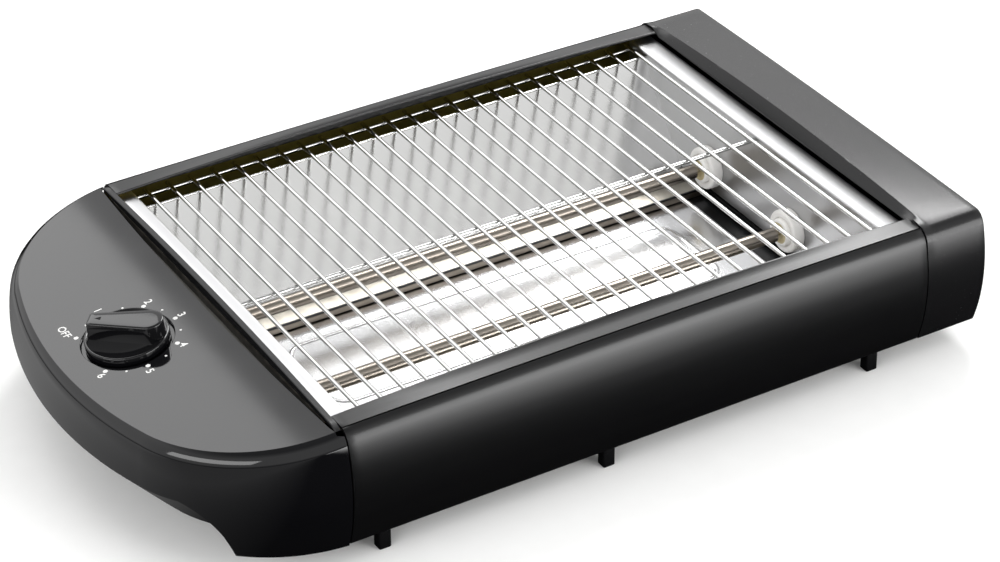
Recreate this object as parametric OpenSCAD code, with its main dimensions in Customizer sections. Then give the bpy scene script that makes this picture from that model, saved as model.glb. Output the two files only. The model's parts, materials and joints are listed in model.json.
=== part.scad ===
// Flat toaster: a low table-top bread toaster with a wire grill over two
// heating tubes, a timer knob on a rounded control end and a crumb tray that
// slides out at the square end. All sizes in millimetres.
// Frame: origin at the middle of the footprint on the table, +X towards the
// square end, +Y to the back, +Z up.

/* [Body] */
// length of the side panels between the two seams
span = 274; // [250:1:300]
// half of the width across the top edges
half_w = 105; // [98:0.5:115]
// height of the side panels
body_h = 53.5; // [53:0.1:55]
// radius of the bulge in the side walls
side_r = 80; // [75:1:95]
// how far the side walls bulge past the top edge
bulge = 7.65; // [6.5:0.05:8.2]
// depth of the widest point below the top
side_mid = 27; // [25:0.5:29]
// radius where the side wall turns in to the top edge
edge_r = 8; // [7:0.5:9]
// panel sheet thickness
sheet = 1.2; // [0.9:0.1:1.4]
// width of the panel's top flange
flange = 9.4; // [8.5:0.1:10.5]
// height of the panel's inner lip
lip_h = 2.6; // [2:0.1:3]
// width of the panel's bottom flange
foot_flange = 16; // [14:0.5:18]
// gap left open at each seam
seam_gap = 0.3; // [0.2:0.05:0.6]

/* [Square end cap] */
// length of the end cap
cap_len = 30.5; // [28:0.5:36]
// wall of the moulded end cap and control housing
wall = 2.4; // [2:0.1:2.8]
// radius of the bowed inner edge of the cap
bow_r = 1043; // [800:1:1400]
// depth of the sloped step at the bowed edge
bow_h = 2.2; // [1.6:0.1:2.3]
// run of the sloped step
bow_run = 6; // [4:0.5:8]

/* [Control housing] */
// length of the control housing along its top
nose = 70.5; // [66:0.5:76]
// slope of the control top
tilt = 6.6; // [5:0.1:8]
// radius of the two corners
corner_r = 65; // [60:1:70]
// radius of the rounded tip
tip_r = 200; // [180:5:240]
// depth of the finger arch's top edge below the control top
arch_z = 21; // [19:0.5:24]
// how far the finger arch cuts in under the tip
arch_in = 18; // [12:0.5:19]
// foot of the arch's slope above the foot of the side panels
arch_up = 6; // [2.5:0.5:8.5]
// angle on the corner where the arch starts to fade out
arch_turn = 26; // [23:0.5:29]
// radius of the arch's ends
arch_end_r = 27; // [24:0.5:28]

/* [Dial and timer] */
// distance of the dial centre from the seam, along the control top
dial_x = 40.5; // [38.5:0.1:42]
// radius of the dish round the knob
dish_r = 19.1; // [18:0.1:20]
// depth of the dish
dish_h = 1.6; // [1.2:0.1:1.8]
// radius of the knob's skirt
skirt_r = 17.3; // [16.5:0.1:17.6]
// height of the knob above the control top
knob_h = 10; // [8.5:0.1:12]
// radius of the knob grip's round tail
grip_tail = 6.3; // [5.5:0.1:7]
// half width of the grip at its pointer end
grip_tip = 4; // [3.2:0.1:4.8]
// spindle diameter
spindle_d = 6; // [5:0.1:6.5]
// radial running clearance of the spindle
run_gap = 0.05; // [0.03:0.01:0.1]
// side of the timer case
timer_w = 42; // [38:1:45]
// height of the timer case
timer_h = 20; // [16:1:22]

/* [Heating chamber] */
// thickness of the reflector and end plate sheet
bright = 0.8; // [0.6:0.1:1]
// distance of the left end plate's face from the seam
chamber_l = 9.2; // [8.6:0.1:10]
// distance of the right end plate's face from the left seam, less the span
chamber_r = 11.5; // [11:0.1:12]
// radius of the rolled top of the end plates
roll_r = 10; // [8:0.5:10.5]
// height of the rolled top below the body top
roll_z = 3; // [2.8:0.1:3.4]
// underside of the chamber walls above the foot of the side panels
chamber_up = 4.7; // [4.5:0.1:5.1]
// top edges of the sloped reflectors, in from the top edges of the body
trough_rim = 16.8; // [16:0.2:19]
// how far the sloped reflectors lean out from foot to top
trough_lean = 33.6; // [32:0.2:35]
// top edge of the sloped reflectors below the body top
trough_z = 6.4; // [6.2:0.1:7.4]
// number of grill wires
wires = 24; // [22:1:26]
// grill wire diameter
wire_d = 1.8; // [1.6:0.1:2]
// first wire's distance from the seam
wire_x = 15.2; // [14.5:0.1:16]
// depth of the wires' centre line below the body top
wire_z = 4.7; // [4.6:0.05:4.9]
// how far the wires stop short of the top edges
wire_short = 4.7; // [4.2:0.1:5.5]
// grill rod diameter
rod_d = 2; // [1.8:0.1:2.2]
// heating tube diameter
tube_d = 6.5; // [6:0.1:7]
// heating tubes to each side of the middle
tube_y = 31.5; // [29:0.5:33]
// height of the heating tubes above the chamber's foot
tube_up = 13.4; // [12.8:0.1:14.3]
// ceramic insulator diameter
cera_d = 19.6; // [18:0.1:20]
// ceramic insulator thickness
cera_t = 5.5; // [4.5:0.1:6]
// gap between tube end and insulator
tube_gap = 4; // [3:0.1:5]

/* [Base and crumb tray] */
// thickness of the base sheet
base_t = 1; // [0.8:0.1:1.2]
// half width of the opening in the base
open_half = 35.7; // [34:0.1:37]
// edges of the crumb tray, in from the top edges of the body
tray_in = 29.5; // [29:0.5:33]
// crumb tray sheet
tray_t = 0.6; // [0.5:0.05:0.8]
// top of the tray floor above the foot of the side panels
tray_up = 0.5; // [0.3:0.05:0.7]
// sliding clearance round the tray
tray_gap = 0.35; // [0.25:0.05:0.5]
// height of the feet under the panels
foot_h = 11; // [9:0.5:14]
// width of a foot
foot_w = 5.5; // [4.5:0.1:6.5]

/* [Hidden] */
$fn = 96;
e = 0.01;

// Side profile: a crease at the top edge, a small turn and one long bulge.
side_c = side_r - bulge;
turn_a = (side_c * side_c + side_mid * side_mid + edge_r * edge_r
          - (side_r - edge_r) * (side_r - edge_r)) / (2 * side_c);
turn_b = side_mid / side_c;
turn_q = 1 + turn_b * turn_b;
turn_z = (-turn_a * turn_b - sqrt(turn_a * turn_a * turn_b * turn_b
          - turn_q * (turn_a * turn_a - edge_r * edge_r))) / turn_q;
turn_y = turn_a + turn_b * turn_z;

// Middle of the sheet at the foot of the bulge.
foot_edge = side_c - sqrt(side_r * side_r - pow(body_h - side_mid, 2)) + sheet / 2;

// Where things end up in the shared frame.
arch_bulge = sqrt(side_r * side_r - pow(side_mid - arch_z, 2)) - side_c;
tip_x = arch_z * sin(tilt) - (nose + arch_bulge) * cos(tilt);
end_x = span + cap_len;
shift_x = -(tip_x + end_x) / 2;
shift_z = body_h + foot_h;

// Heating chamber and base positions.
right_x = span - chamber_r;
strip_z = body_h - sheet;
base_z = body_h - chamber_up;
tube_z = base_z - tube_up;
tray_z = body_h - tray_up;
wire_half = half_w - wire_short;
trough_out = half_w - trough_rim;
trough_in = trough_out - trough_lean;
base_half = half_w - 18;
base_step = 1.2;
strip_half = half_w - 7;
shield_half = half_w - flange - seam_gap;
shield_foot = base_half - base_step - seam_gap;
base_l = -1.5;
shield_x = -2.6;
rod_z = wire_z + wire_d / 2 + rod_d / 2 - 0.15;
plate_half = wire_half + 0.2;
rod_out = plate_half - 2.5;
wire_pitch = (right_x - 2.5 - wire_x) / (wires - 1);
tube_l = chamber_l + cera_t + tube_gap;
tube_r = right_x - cera_t - tube_gap;
pin_d = 2.2;
pin_l = -6;
pin_r = right_x + 9;
shank_d = 9;
shank_l = 5;
bush_d = 6;

// Control housing outline: two corner arcs and one tip arc.
tip_c = tip_r - nose;
corner_y = half_w - corner_r;
corner_x = tip_c - sqrt(pow(tip_r - corner_r, 2) - corner_y * corner_y);
tip_half = asin(corner_y / (tip_r - corner_r));
top_drop = 0.5;
boss_z = dish_h + wall + 1.4;
plate_t = 1.2;
case_z = boss_z + plate_t;
screw_r = 11;
pointer = 140;
lens_r = 2820;
turn_proud = 0.02;
tip_blend = 4;
tip_ease = 28;
arch_drop = body_h - arch_up - arch_z;
arch_half = corner_y + corner_r * sin(arch_turn);
gland_turn = 14;
gland_z = 36;
gland_d = 9;
gland_seat = bulge - 1.4;
shield_boss_y = half_w - 13;
shield_boss_z = 22;
cover_z = body_h - 0.5;
cover_t = 1.6;
cover_boss = [for (y = [-1, 1]) each [[-16, y * (half_w - 21)], [-42, y * 42]]];
blade_y = 12;
blade_x = -28.4;
blade_room = 0.05;
block_x = -22;
block_y = 52;
lead_d = 2.6;
block_z = 6 + cover_t - cover_z;
blade_foot = -36;
lead_z = blade_foot - 6;

// Tray and rail positions.
rail_t = 1;
tray_half = half_w - tray_in;
tray_l = 12.5;
tray_r = right_x + 9.5;
rim_h = 2.4;
rail_in = tray_half + tray_gap;
slot_half = rail_in + rail_t + 0.6;
pull_half = slot_half - 0.8;
slot_z = body_h - 6.5;
web_t = 1.6;
tray_rivet_y = 40;
rail_rivet_x = [40, span / 2, right_x - 17.5];
rail_rivet_y = rail_in + 5.5;
rail_lip_z = tray_z + tray_t + tray_gap;

module place() { translate([shift_x, 0, shift_z]) children(); }
module along_x() { rotate([90, 0, 90]) children(); }
module both() { children(); mirror([0, 1, 0]) children(); }

// Region inside one side wall, inset by t; first axis points inwards. The small
// turn is set out by turn_proud, so that it crosses the bulge where it meets it.
module side2d(t, deep, reach) {
  step = turn_proud / (side_r - edge_r);
  join = turn_z + (edge_r - t) * (turn_z + side_mid) / (side_r - edge_r);
  intersection() {
    translate([side_c, -side_mid]) circle(r = side_r - t, $fn = 180);
    translate([-20, -deep]) square([20 + reach, deep + join]);
  }
  intersection() {
    translate([turn_y + step * (turn_y - side_c), turn_z + step * (turn_z + side_mid)])
      circle(r = edge_r - t);
    translate([-20, -deep]) square([20 + reach, deep - t]);
  }
  translate([t / 4, -deep]) square([reach - t / 4, deep - t]);
}

// Whole cross section of the body, inset by t.
module body2d(t, deep) {
  translate([-half_w, 0]) side2d(t, deep, half_w + e);
  mirror([1, 0]) translate([-half_w, 0]) side2d(t, deep, half_w + e);
}

// Front panel: bulged sheet with a top flange, an inner lip and a foot flange.
module panel2d() {
  difference() {
    side2d(0, body_h, flange);
    side2d(sheet, body_h + 1, flange + 1);
  }
  translate([flange - sheet, -lip_h]) square([sheet, lip_h - sheet / 2]);
  translate([foot_edge, -body_h]) square([foot_flange - foot_edge, sheet]);
}

foot_x = [17.2, 121.3, span - 20.8];
foot_y = half_w - 2.5;
panel_hole_x = [60, 160, span - 34];
panel_hole_y = half_w - 12;

module panel() {
  difference() {
    translate([seam_gap, -half_w, 0]) along_x() linear_extrude(span - 2 * seam_gap) panel2d();
    for (x = foot_x) translate([x, -foot_y, -body_h - 1]) cylinder(d = 3, h = 4);
    for (x = panel_hole_x) translate([x, -panel_hole_y, -body_h - 1]) cylinder(d = 3.2, h = 4);
  }
}

module front_panel() { color("#1b1b1d") place() panel(); }
module back_panel() { color("#1b1b1d") place() mirror([0, 1, 0]) panel(); }

// Six moulded feet, each held by a headed neck through the panel's foot flange.
module feet() {
  color("#141414") place() both() for (x = foot_x) translate([x, -foot_y, 0]) {
    translate([-foot_w / 2, -2.5, -body_h - foot_h]) cube([foot_w, 5, foot_h]);
    translate([0, 0, -body_h - e]) cylinder(d = 3, h = sheet + 2 * e);
    translate([0, 0, -strip_z]) cylinder(d = 5, h = 1.2);
  }
}

// Square end cap: moulded shell, open below and towards the panels.
bow_rib = 1.4;
cap_boss_x = span + 18;
cap_boss_y = half_w - 17;
module end_cap() {
  color("#202124") place() difference() {
    union() {
      difference() {
        translate([span, 0, 0]) along_x() linear_extrude(cap_len) body2d(0, body_h);
        translate([span - 1, 0, 0]) along_x() linear_extrude(cap_len - wall + 1) body2d(wall, body_h + 1);
      }
      translate([span, -half_w + flange, -wall - bow_rib])
        cube([bow_run + 8, 2 * (half_w - flange), bow_rib + e]);
      both() translate([cap_boss_x, cap_boss_y, -base_z]) cylinder(d = 8, h = base_z - wall / 2);
      both() translate([cap_boss_x, cap_boss_y - 1, -40]) cube([cap_len - 18 - wall / 2, 2, 40 - wall / 2]);
    }
    both() translate([cap_boss_x, cap_boss_y, -base_z - e]) cylinder(d = 2.4, h = 14);
    translate([end_x - wall - 1, -slot_half, -body_h - 1])
      cube([wall + 2, 2 * slot_half, body_h + 1 - slot_z]);
    intersection() {
      translate([span + 8 - bow_r, 0, -bow_h])
        cylinder(r1 = bow_r - bow_run, r2 = bow_r + 0.3, h = bow_h + 0.11, $fn = 720);
      translate([span - 1, -half_w + 4, -bow_h - 1]) cube([12, 2 * half_w - 8, bow_h + 2]);
    }
  }
}

// Base sheet: carries the chamber, with a long opening over the tray and
// stepped strips that lie on the panels' foot flanges.
module base_plate() {
  color("#b9bab6") place() difference() {
    union() {
      translate([base_l, -base_half, -base_z - base_t])
        cube([end_x - 6 - base_l, 2 * base_half, base_t]);
      both() {
        translate([1, -base_half, -strip_z]) cube([span - 2, base_step, strip_z - base_z]);
        translate([1, -strip_half, -strip_z]) cube([span - 2, strip_half - base_half + base_step, base_t]);
        translate([span + 12, -base_half - 5, -base_z - base_t]) cube([12, 8, base_t]);
      }
    }
    translate([chamber_l, -open_half, -base_z - 2]) cube([right_x - chamber_l, 2 * open_half, 3]);
    both() {
      for (x = panel_hole_x) translate([x, -panel_hole_y, -strip_z - 1]) cylinder(d = 2.4, h = 3);
      translate([cap_boss_x, -cap_boss_y, -base_z - 2]) cylinder(d = 3.4, h = 3);
      for (x = rail_rivet_x) translate([x, -rail_rivet_y, -base_z - 2]) cylinder(d = 3, h = 3);
      for (x = plate_rivet_x) translate([x, -plate_rivet_y, -base_z - 2]) cylinder(d = 3, h = 3);
    }
  }
}

// Sloped reflector sheets with a foot flange and two tabs at each end.
slope_t = bright / cos(atan((trough_out - trough_in) / (base_z - trough_z)));
module slope2d(z0, z1, c) {
  w = (trough_out - trough_in) / (base_z - trough_z);
  y0 = trough_in + (base_z - z0) * w;
  y1 = trough_in + (base_z - z1) * w;
  polygon([[y0 - c, -z0], [y0 + slope_t + c, -z0], [y1 + slope_t + c, -z1], [y1 - c, -z1]]);
}
tab_z = [[trough_z + 10.6, trough_z + 6.6], [base_z - 3.8, base_z - 8.8]];
module reflector() {
  translate([chamber_l, 0, 0]) along_x() linear_extrude(right_x - chamber_l) {
    slope2d(base_z, trough_z, 0);
    translate([trough_in + slope_t / 2, -base_z]) square([10, bright]);
  }
  for (t = tab_z) translate([chamber_l - 2, 0, 0]) along_x()
    linear_extrude(right_x - chamber_l + 4) slope2d(t[0], t[1], 0);
}
module reflector_back() { color("#dcdddc") place() reflector(); }
module reflector_front() { color("#dcdddc") place() mirror([0, 1, 0]) reflector(); }

// End plate: upright bright sheet whose top rolls over away from the chamber.
plate_rivet_x = [chamber_l - 6, right_x + 6];
plate_rivet_y = trough_in + 7.4;
module end_plate() {
  difference() {
    union() {
      rotate([90, 0, 0]) translate([0, 0, -plate_half]) linear_extrude(2 * plate_half) {
        translate([0, -base_z]) square([bright, base_z - roll_z - roll_r]);
        intersection() {
          difference() {
            translate([roll_r, -roll_z - roll_r]) circle(r = roll_r);
            translate([roll_r, -roll_z - roll_r]) circle(r = roll_r - bright);
          }
          translate([0, -roll_z - roll_r]) square([roll_r, roll_r]);
        }
        translate([roll_r - e, -roll_z - bright]) square([0.6, bright]);
      }
      translate([e, -plate_half, -base_z]) cube([9.5, 2 * plate_half, bright]);
    }
    both() {
      translate([-1, -tube_y, -tube_z]) rotate([0, 90, 0]) cylinder(d = shank_d, h = 4);
      translate([6, -plate_rivet_y, -base_z - 1]) cylinder(d = 3, h = 4);
      for (t = tab_z) translate([-1, 0, 0]) along_x() linear_extrude(4)
        slope2d(t[0] + 0.2, t[1] - 0.2, 0.15);
      translate([-1, -rod_out, -rod_z]) rotate([0, 90, 0]) cylinder(d = rod_d + 0.4, h = 9);
    }
    translate([-1, 0, -rod_z]) rotate([0, 90, 0]) cylinder(d = rod_d + 0.4, h = 9);
  }
}
module end_plate_right() { color("#d2d3d4") place() translate([right_x, 0, 0]) end_plate(); }
module end_plate_left() {
  color("#d2d3d4") place() translate([chamber_l, 0, 0]) mirror([1, 0, 0]) end_plate();
}
module plate_rivets() {
  color("#a9aaab") place() both() for (i = [0, 1]) translate([plate_rivet_x[i], -plate_rivet_y, 0]) {
    low = base_z + base_t + (i == 0 ? bright : 0);
    translate([0, 0, -low - e]) cylinder(d = 3, h = low - base_z + bright + 2 * e);
    translate([0, 0, -base_z + bright]) cylinder(d = 5.4, h = 1);
    translate([0, 0, -low - 0.6]) cylinder(d = 5, h = 0.6);
  }
}

// Moulded strip that covers the left end plate's outer edge.
trim_half = half_w - flange - 0.4;
module seam_trim() {
  color("#2a2b2d") place() translate([-1.4, -trim_half, -roll_z]) cube([3.8, 2 * trim_half, 2.5]);
}

// Heat shield between the chamber and the control housing.
module heat_shield() {
  low = base_z + base_t + bright;
  color("#c4c6c8") place() difference() {
    union() {
      translate([shield_x, -shield_half, -low]) cube([bright, 2 * shield_half, low - 1.4]);
      translate([shield_x, -shield_foot, -low]) cube([10.6, 2 * shield_foot, bright]);
    }
    both() {
      translate([shield_x - 1, -tube_y, -tube_z]) rotate([0, 90, 0]) cylinder(d = 11, h = 3);
      translate([plate_rivet_x[0], -plate_rivet_y, -low - 1]) cylinder(d = 3, h = 3);
      translate([shield_x - 1, -shield_boss_y, -shield_boss_z]) rotate([0, 90, 0]) cylinder(d = 3.4, h = 3);
    }
  }
}

// Wire grill: cross wires welded on three rods.
module wire_grill() {
  color("#e6e6e6") place() {
    for (i = [0 : wires - 1]) translate([wire_x + i * wire_pitch, wire_half, -wire_z])
      rotate([90, 0, 0]) cylinder(d = wire_d, h = 2 * wire_half, $fn = 24);
    for (y = [-rod_out, 0, rod_out]) translate([chamber_l - 4.6, y, -rod_z])
      rotate([0, 90, 0]) cylinder(d = rod_d, h = right_x - chamber_l + 9.2, $fn = 24);
  }
}

// Heating tubes, their terminal pins and the ceramic insulators that carry them.
module tube(y) {
  translate([tube_l, y, -tube_z]) rotate([0, 90, 0]) difference() {
    cylinder(d = tube_d, h = tube_r - tube_l);
    translate([0, 0, -e]) cylinder(d = pin_d, h = 8 + e);
    translate([0, 0, tube_r - tube_l - 8]) cylinder(d = pin_d, h = 8 + e);
  }
}
module heater_tube_front() { color("#8d857d") place() tube(-tube_y); }
module heater_tube_back() { color("#8d857d") place() tube(tube_y); }
module heater_pins() {
  color("#b5b2aa") place() both() {
    translate([pin_l, -tube_y, -tube_z]) rotate([0, 90, 0]) cylinder(d = pin_d, h = tube_l + 8 - pin_l);
    translate([tube_r - 8, -tube_y, -tube_z]) rotate([0, 90, 0]) cylinder(d = pin_d, h = pin_r - tube_r + 8);
  }
}
// One insulator, seated on a wall at x = 0 and looking to -x.
module insulator() {
  rotate([0, 90, 0]) difference() {
    union() {
      translate([0, 0, -cera_t]) cylinder(d = cera_d, h = cera_t);
      translate([0, 0, -cera_t - 1.6]) cylinder(d = 12.5, h = 1.6 + e);
      translate([0, 0, -e]) cylinder(d = shank_d, h = shank_l);
    }
    translate([0, 0, -cera_t - 2]) cylinder(d = bush_d, h = cera_t + shank_l + 4);
  }
}
module insulators_right() {
  color("#f1efe9") place() both() translate([right_x, -tube_y, -tube_z]) insulator();
}
module insulators_left() {
  color("#f1efe9") place() both() translate([chamber_l, -tube_y, -tube_z]) mirror([1, 0, 0]) insulator();
}
// Brass bushings between pins and insulators.
module bushing() {
  rotate([0, 90, 0]) difference() {
    translate([0, 0, -cera_t - 1.2]) cylinder(d = bush_d, h = cera_t + shank_l + 2.2);
    translate([0, 0, -cera_t - 2]) cylinder(d = pin_d, h = cera_t + shank_l + 6);
  }
}
module pin_bushings() {
  color("#c8a24a") place() both() {
    translate([right_x, -tube_y, -tube_z]) bushing();
    translate([chamber_l, -tube_y, -tube_z]) mirror([1, 0, 0]) bushing();
  }
}
// Strap that joins the two tubes behind the right end plate.
module link_strap() {
  color("#c9ab63") place() translate([right_x + shank_l + 1, 0, -tube_z]) rotate([0, 90, 0]) difference() {
    translate([-4, -tube_y - 5, 0]) cube([8, 2 * tube_y + 10, 1]);
    both() translate([0, -tube_y, -1]) cylinder(d = pin_d, h = 3);
  }
}

// Crumb tray: bright shallow sheet that slides along X under the base.
module crumb_tray() {
  color("#d9dadb") place() difference() {
    union() {
      translate([tray_l, -tray_half, -tray_z - tray_t]) cube([tray_r - tray_l, 2 * tray_half, tray_t]);
      both() translate([tray_l, -tray_half, -tray_z - tray_t])
        cube([tray_r - tray_l, tray_t, rim_h + tray_t]);
      translate([tray_l, -tray_half, -tray_z - tray_t]) cube([tray_t, 2 * tray_half, rim_h + tray_t]);
    }
    both() translate([tray_r - 4, -tray_rivet_y, -tray_z - 2]) cylinder(d = 3, h = 4);
  }
}
// Moulded pull: a web on the tray, a bar that closes the cap's slot and a finger lip.
module tray_pull() {
  color("#17181a") place() difference() {
    union() {
      translate([right_x + 0.5, -tray_half + 1.5, -tray_z])
        cube([end_x - 1 - right_x, 2 * tray_half - 3, web_t]);
      translate([end_x - 3, -pull_half, -tray_z - tray_t])
        cube([3, 2 * pull_half, tray_z + tray_t - slot_z - 0.5]);
      translate([end_x - 3, -30, -tray_z - 6]) cube([3, 60, 6.5]);
    }
    both() translate([tray_r - 4, -tray_rivet_y, -tray_z - 1]) cylinder(d = 3, h = 4);
  }
}
module tray_rivets() {
  color("#a9aaab") place() both() translate([tray_r - 4, -tray_rivet_y, 0]) {
    translate([0, 0, -tray_z - tray_t - e]) cylinder(d = 3, h = tray_t + web_t + 2 * e);
    translate([0, 0, -tray_z + web_t]) cylinder(d = 5, h = 0.6);
    translate([0, 0, -tray_z - tray_t - 0.5]) cylinder(d = 5, h = 0.5);
  }
}
// Rails riveted under the base, with a lip below the tray's edges.
module rail() {
  difference() {
    translate([12, 0, 0]) along_x() linear_extrude(end_x - 20) {
      translate([-rail_in - rail_t, -rail_lip_z - rail_t])
        square([rail_t, rail_lip_z + rail_t - base_z - base_t]);
      translate([-rail_in - rail_t, -rail_lip_z - rail_t]) square([6, rail_t]);
      translate([-rail_in - 9, -base_z - base_t - rail_t]) square([9, rail_t]);
    }
    for (x = rail_rivet_x) translate([x, -rail_rivet_y, -base_z - base_t - 2]) cylinder(d = 3, h = 4);
  }
}
module tray_rail_front() { color("#9a9c9e") place() rail(); }
module tray_rail_back() { color("#9a9c9e") place() mirror([0, 1, 0]) rail(); }
module rail_rivets() {
  low = base_z + base_t + rail_t;
  color("#a9aaab") place() both() for (x = rail_rivet_x) translate([x, -rail_rivet_y, 0]) {
    translate([0, 0, -low - e]) cylinder(d = 3, h = rail_t + base_t + 2 * e);
    translate([0, 0, -base_z]) cylinder(d = 5, h = 0.8);
    translate([0, 0, -low - 0.6]) cylinder(d = 5, h = 0.6);
  }
}

// Control housing, built in the frame of its sloping top and then tilted.
module tilted() { translate([0, 0, -top_drop]) rotate([0, -tilt, 0]) children(); }
module at_dial() { tilted() translate([-dial_x, 0, 0]) children(); }

// Sections of the housing about an arc of radius r: the outside, the inside that
// is inset by t and has a plain corner, and the undercut grown by t.
module nose_sector(r, t) {
  translate([r, 0]) mirror([1, 0])
    if (t == 0) side2d(0, 70, r);
    else intersection() {
      translate([side_c, -side_mid]) circle(r = side_r - t, $fn = 180);
      translate([-20, -70]) square([20 + r, 70 - t]);
    }
}
module arch_sector(r, t) {
  len = norm([arch_in, arch_drop]);
  x = r + 8 - t * arch_drop / len;
  z = t * arch_in / len - arch_z;
  polygon([[x + 1.5 * arch_in, z + 1.5 * arch_drop], [x - arch_in, z - arch_drop], [x - arch_in, -90],
           [r + 60, -90], [r + 60, z + 1.5 * arch_drop]]);
}
// Housing solid: two corner rounds and the tip round, inset by t. The tip round
// is tighter by ease, so that it crosses the corner rounds.
module nose_solid(t, ease) {
  both() translate([corner_x, corner_y, 0]) rotate_extrude($fn = 180) nose_sector(corner_r, t);
  translate([tip_c - 0.99 * ease, 0, 0]) rotate([0, 0, 180 - tip_half])
    rotate_extrude(angle = 2 * tip_half, $fn = 360) nose_sector(tip_r - ease, t);
}
module arch(t) {
  intersection() {
    union() {
      both() translate([corner_x, corner_y, 0]) rotate([0, 0, 90]) rotate_extrude(angle = 90, $fn = 180)
        arch_sector(corner_r, t);
      translate([tip_c, 0, 0]) rotate([0, 0, 180 - tip_half]) rotate_extrude(angle = 2 * tip_half, $fn = 360)
        arch_sector(tip_r, t);
    }
    union() {
      translate([-140, -arch_half, -90]) cube([150, 2 * arch_half, 120]);
      both() translate([corner_x, corner_y, -arch_z - arch_drop]) rotate([0, -90, -arch_turn])
        cylinder(r = arch_end_r + t, h = 150);
    }
  }
}
module at_gland() {
  translate([corner_x, corner_y, 0]) rotate([0, 0, gland_turn]) translate([0, corner_r, -gland_z])
    rotate([-90, 0, 0]) children();
}

module housing_shell() {
  intersection() {
    tilted() difference() {
      difference() { nose_solid(0, tip_blend); arch(0); }
      difference() { nose_solid(wall, tip_ease); arch(wall); }
    }
    translate([-100, -150, -body_h]) cube([100 - seam_gap, 300, 80]);
  }
}
module control_housing() {
  color("#26272a") place() difference() {
    union() {
      housing_shell();
      at_dial() translate([0, 0, -boss_z]) cylinder(r = 23, h = boss_z - wall / 2);
      both() {
        translate([shield_x - 10, -shield_boss_y, -shield_boss_z]) rotate([0, 90, 0])
          cylinder(d = 8, h = 10);
        translate([shield_x - 10, -half_w - bulge + wall / 2, -shield_boss_z - 1])
          cube([10, half_w + bulge - wall / 2 - shield_boss_y, 2]);
      }
      intersection() {
        union() for (p = cover_boss) translate([p[0], p[1], cover_t - cover_z]) cylinder(d = 8, h = cover_z);
        tilted() nose_solid(wall / 2, tip_ease);
      }
    }
    at_dial() translate([0, 0, -dish_h]) cylinder(r = dish_r, h = 10);
    at_dial() translate([0, 0, -boss_z - 1]) cylinder(d = 12, h = boss_z + 2);
    at_dial() for (y = [-screw_r, screw_r]) translate([0, y, -boss_z - 1]) cylinder(d = 3.2, h = boss_z + 2);
    intersection() {
      translate([lens_r - 5.3, 0, -4]) cylinder(r = lens_r, h = 12, $fn = 720);
      translate([-8, -half_w + flange, -5]) cube([12, 2 * (half_w - flange), 14]);
    }
    both() translate([shield_x - 12, -shield_boss_y, -shield_boss_z]) rotate([0, 90, 0])
      cylinder(d = 2.4, h = 13);
    for (p = cover_boss) translate([p[0], p[1], -cover_z]) cylinder(d = 2.4, h = 14);
    both() translate([-roll_r, -plate_half - seam_gap, -roll_z - 1])
      cube([roll_r, plate_half - shield_half + seam_gap, 1 + seam_gap]);
    at_gland() {
      translate([0, 0, -20]) cylinder(d = gland_d, h = 60);
      translate([0, 0, gland_seat]) cylinder(d = 16, h = 20);
    }
  }
}

// Flat cover that closes the housing from below.
module housing_cover() {
  color("#1d1e20") place() difference() {
    intersection() {
      tilted() difference() { nose_solid(wall + 0.3, tip_ease); arch(wall + 0.3); }
      translate([-100, -150, -cover_z]) cube([100 + shield_x - 0.5, 300, cover_t]);
    }
    for (p = cover_boss) translate([p[0], p[1], -cover_z - 1]) cylinder(d = 3.4, h = 4);
  }
}

// Timer knob: hollow skirt with a bar grip; the pointer end looks to OFF.
module timer_knob() {
  color("#141416") place() at_dial() rotate([0, 0, pointer]) difference() {
    union() {
      translate([0, 0, 0.7 - dish_h]) cylinder(r = skirt_r, h = 1.5 + dish_h);
      translate([0, 0, 2.2 - e]) cylinder(r1 = skirt_r - 1, r2 = skirt_r - 2.4, h = 0.8);
      translate([0, 0, 2]) linear_extrude(knob_h - 2) {
        translate([grip_tail - 16.5, 0]) circle(r = grip_tail);
        polygon([[grip_tail - 16.5, -grip_tail], [14.8, -grip_tip], [14.8, grip_tip],
                 [grip_tail - 16.5, grip_tail]]);
      }
    }
    translate([0, 0, -dish_h]) cylinder(r = skirt_r - 2, h = dish_h + 1);
    translate([0, 0, -dish_h]) cylinder(d = spindle_d, h = knob_h + dish_h - 2.5);
    translate([0, 0, knob_h - 0.5]) linear_extrude(2) polygon([[13.4, 0], [9.2, 2.2], [9.2, -2.2]]);
  }
}
module timer_spindle() {
  color("#b9bbbd") place() at_dial() translate([0, 0, -case_z - 8])
    cylinder(d = spindle_d, h = case_z + 8 + knob_h - 2.5);
}
module spindle_clip() {
  color("#8f9193") place() at_dial() translate([0, 0, 0.1 - dish_h]) difference() {
    cylinder(d = 10, h = 0.8);
    translate([0, 0, -1]) cylinder(d = spindle_d, h = 3);
  }
}
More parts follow.
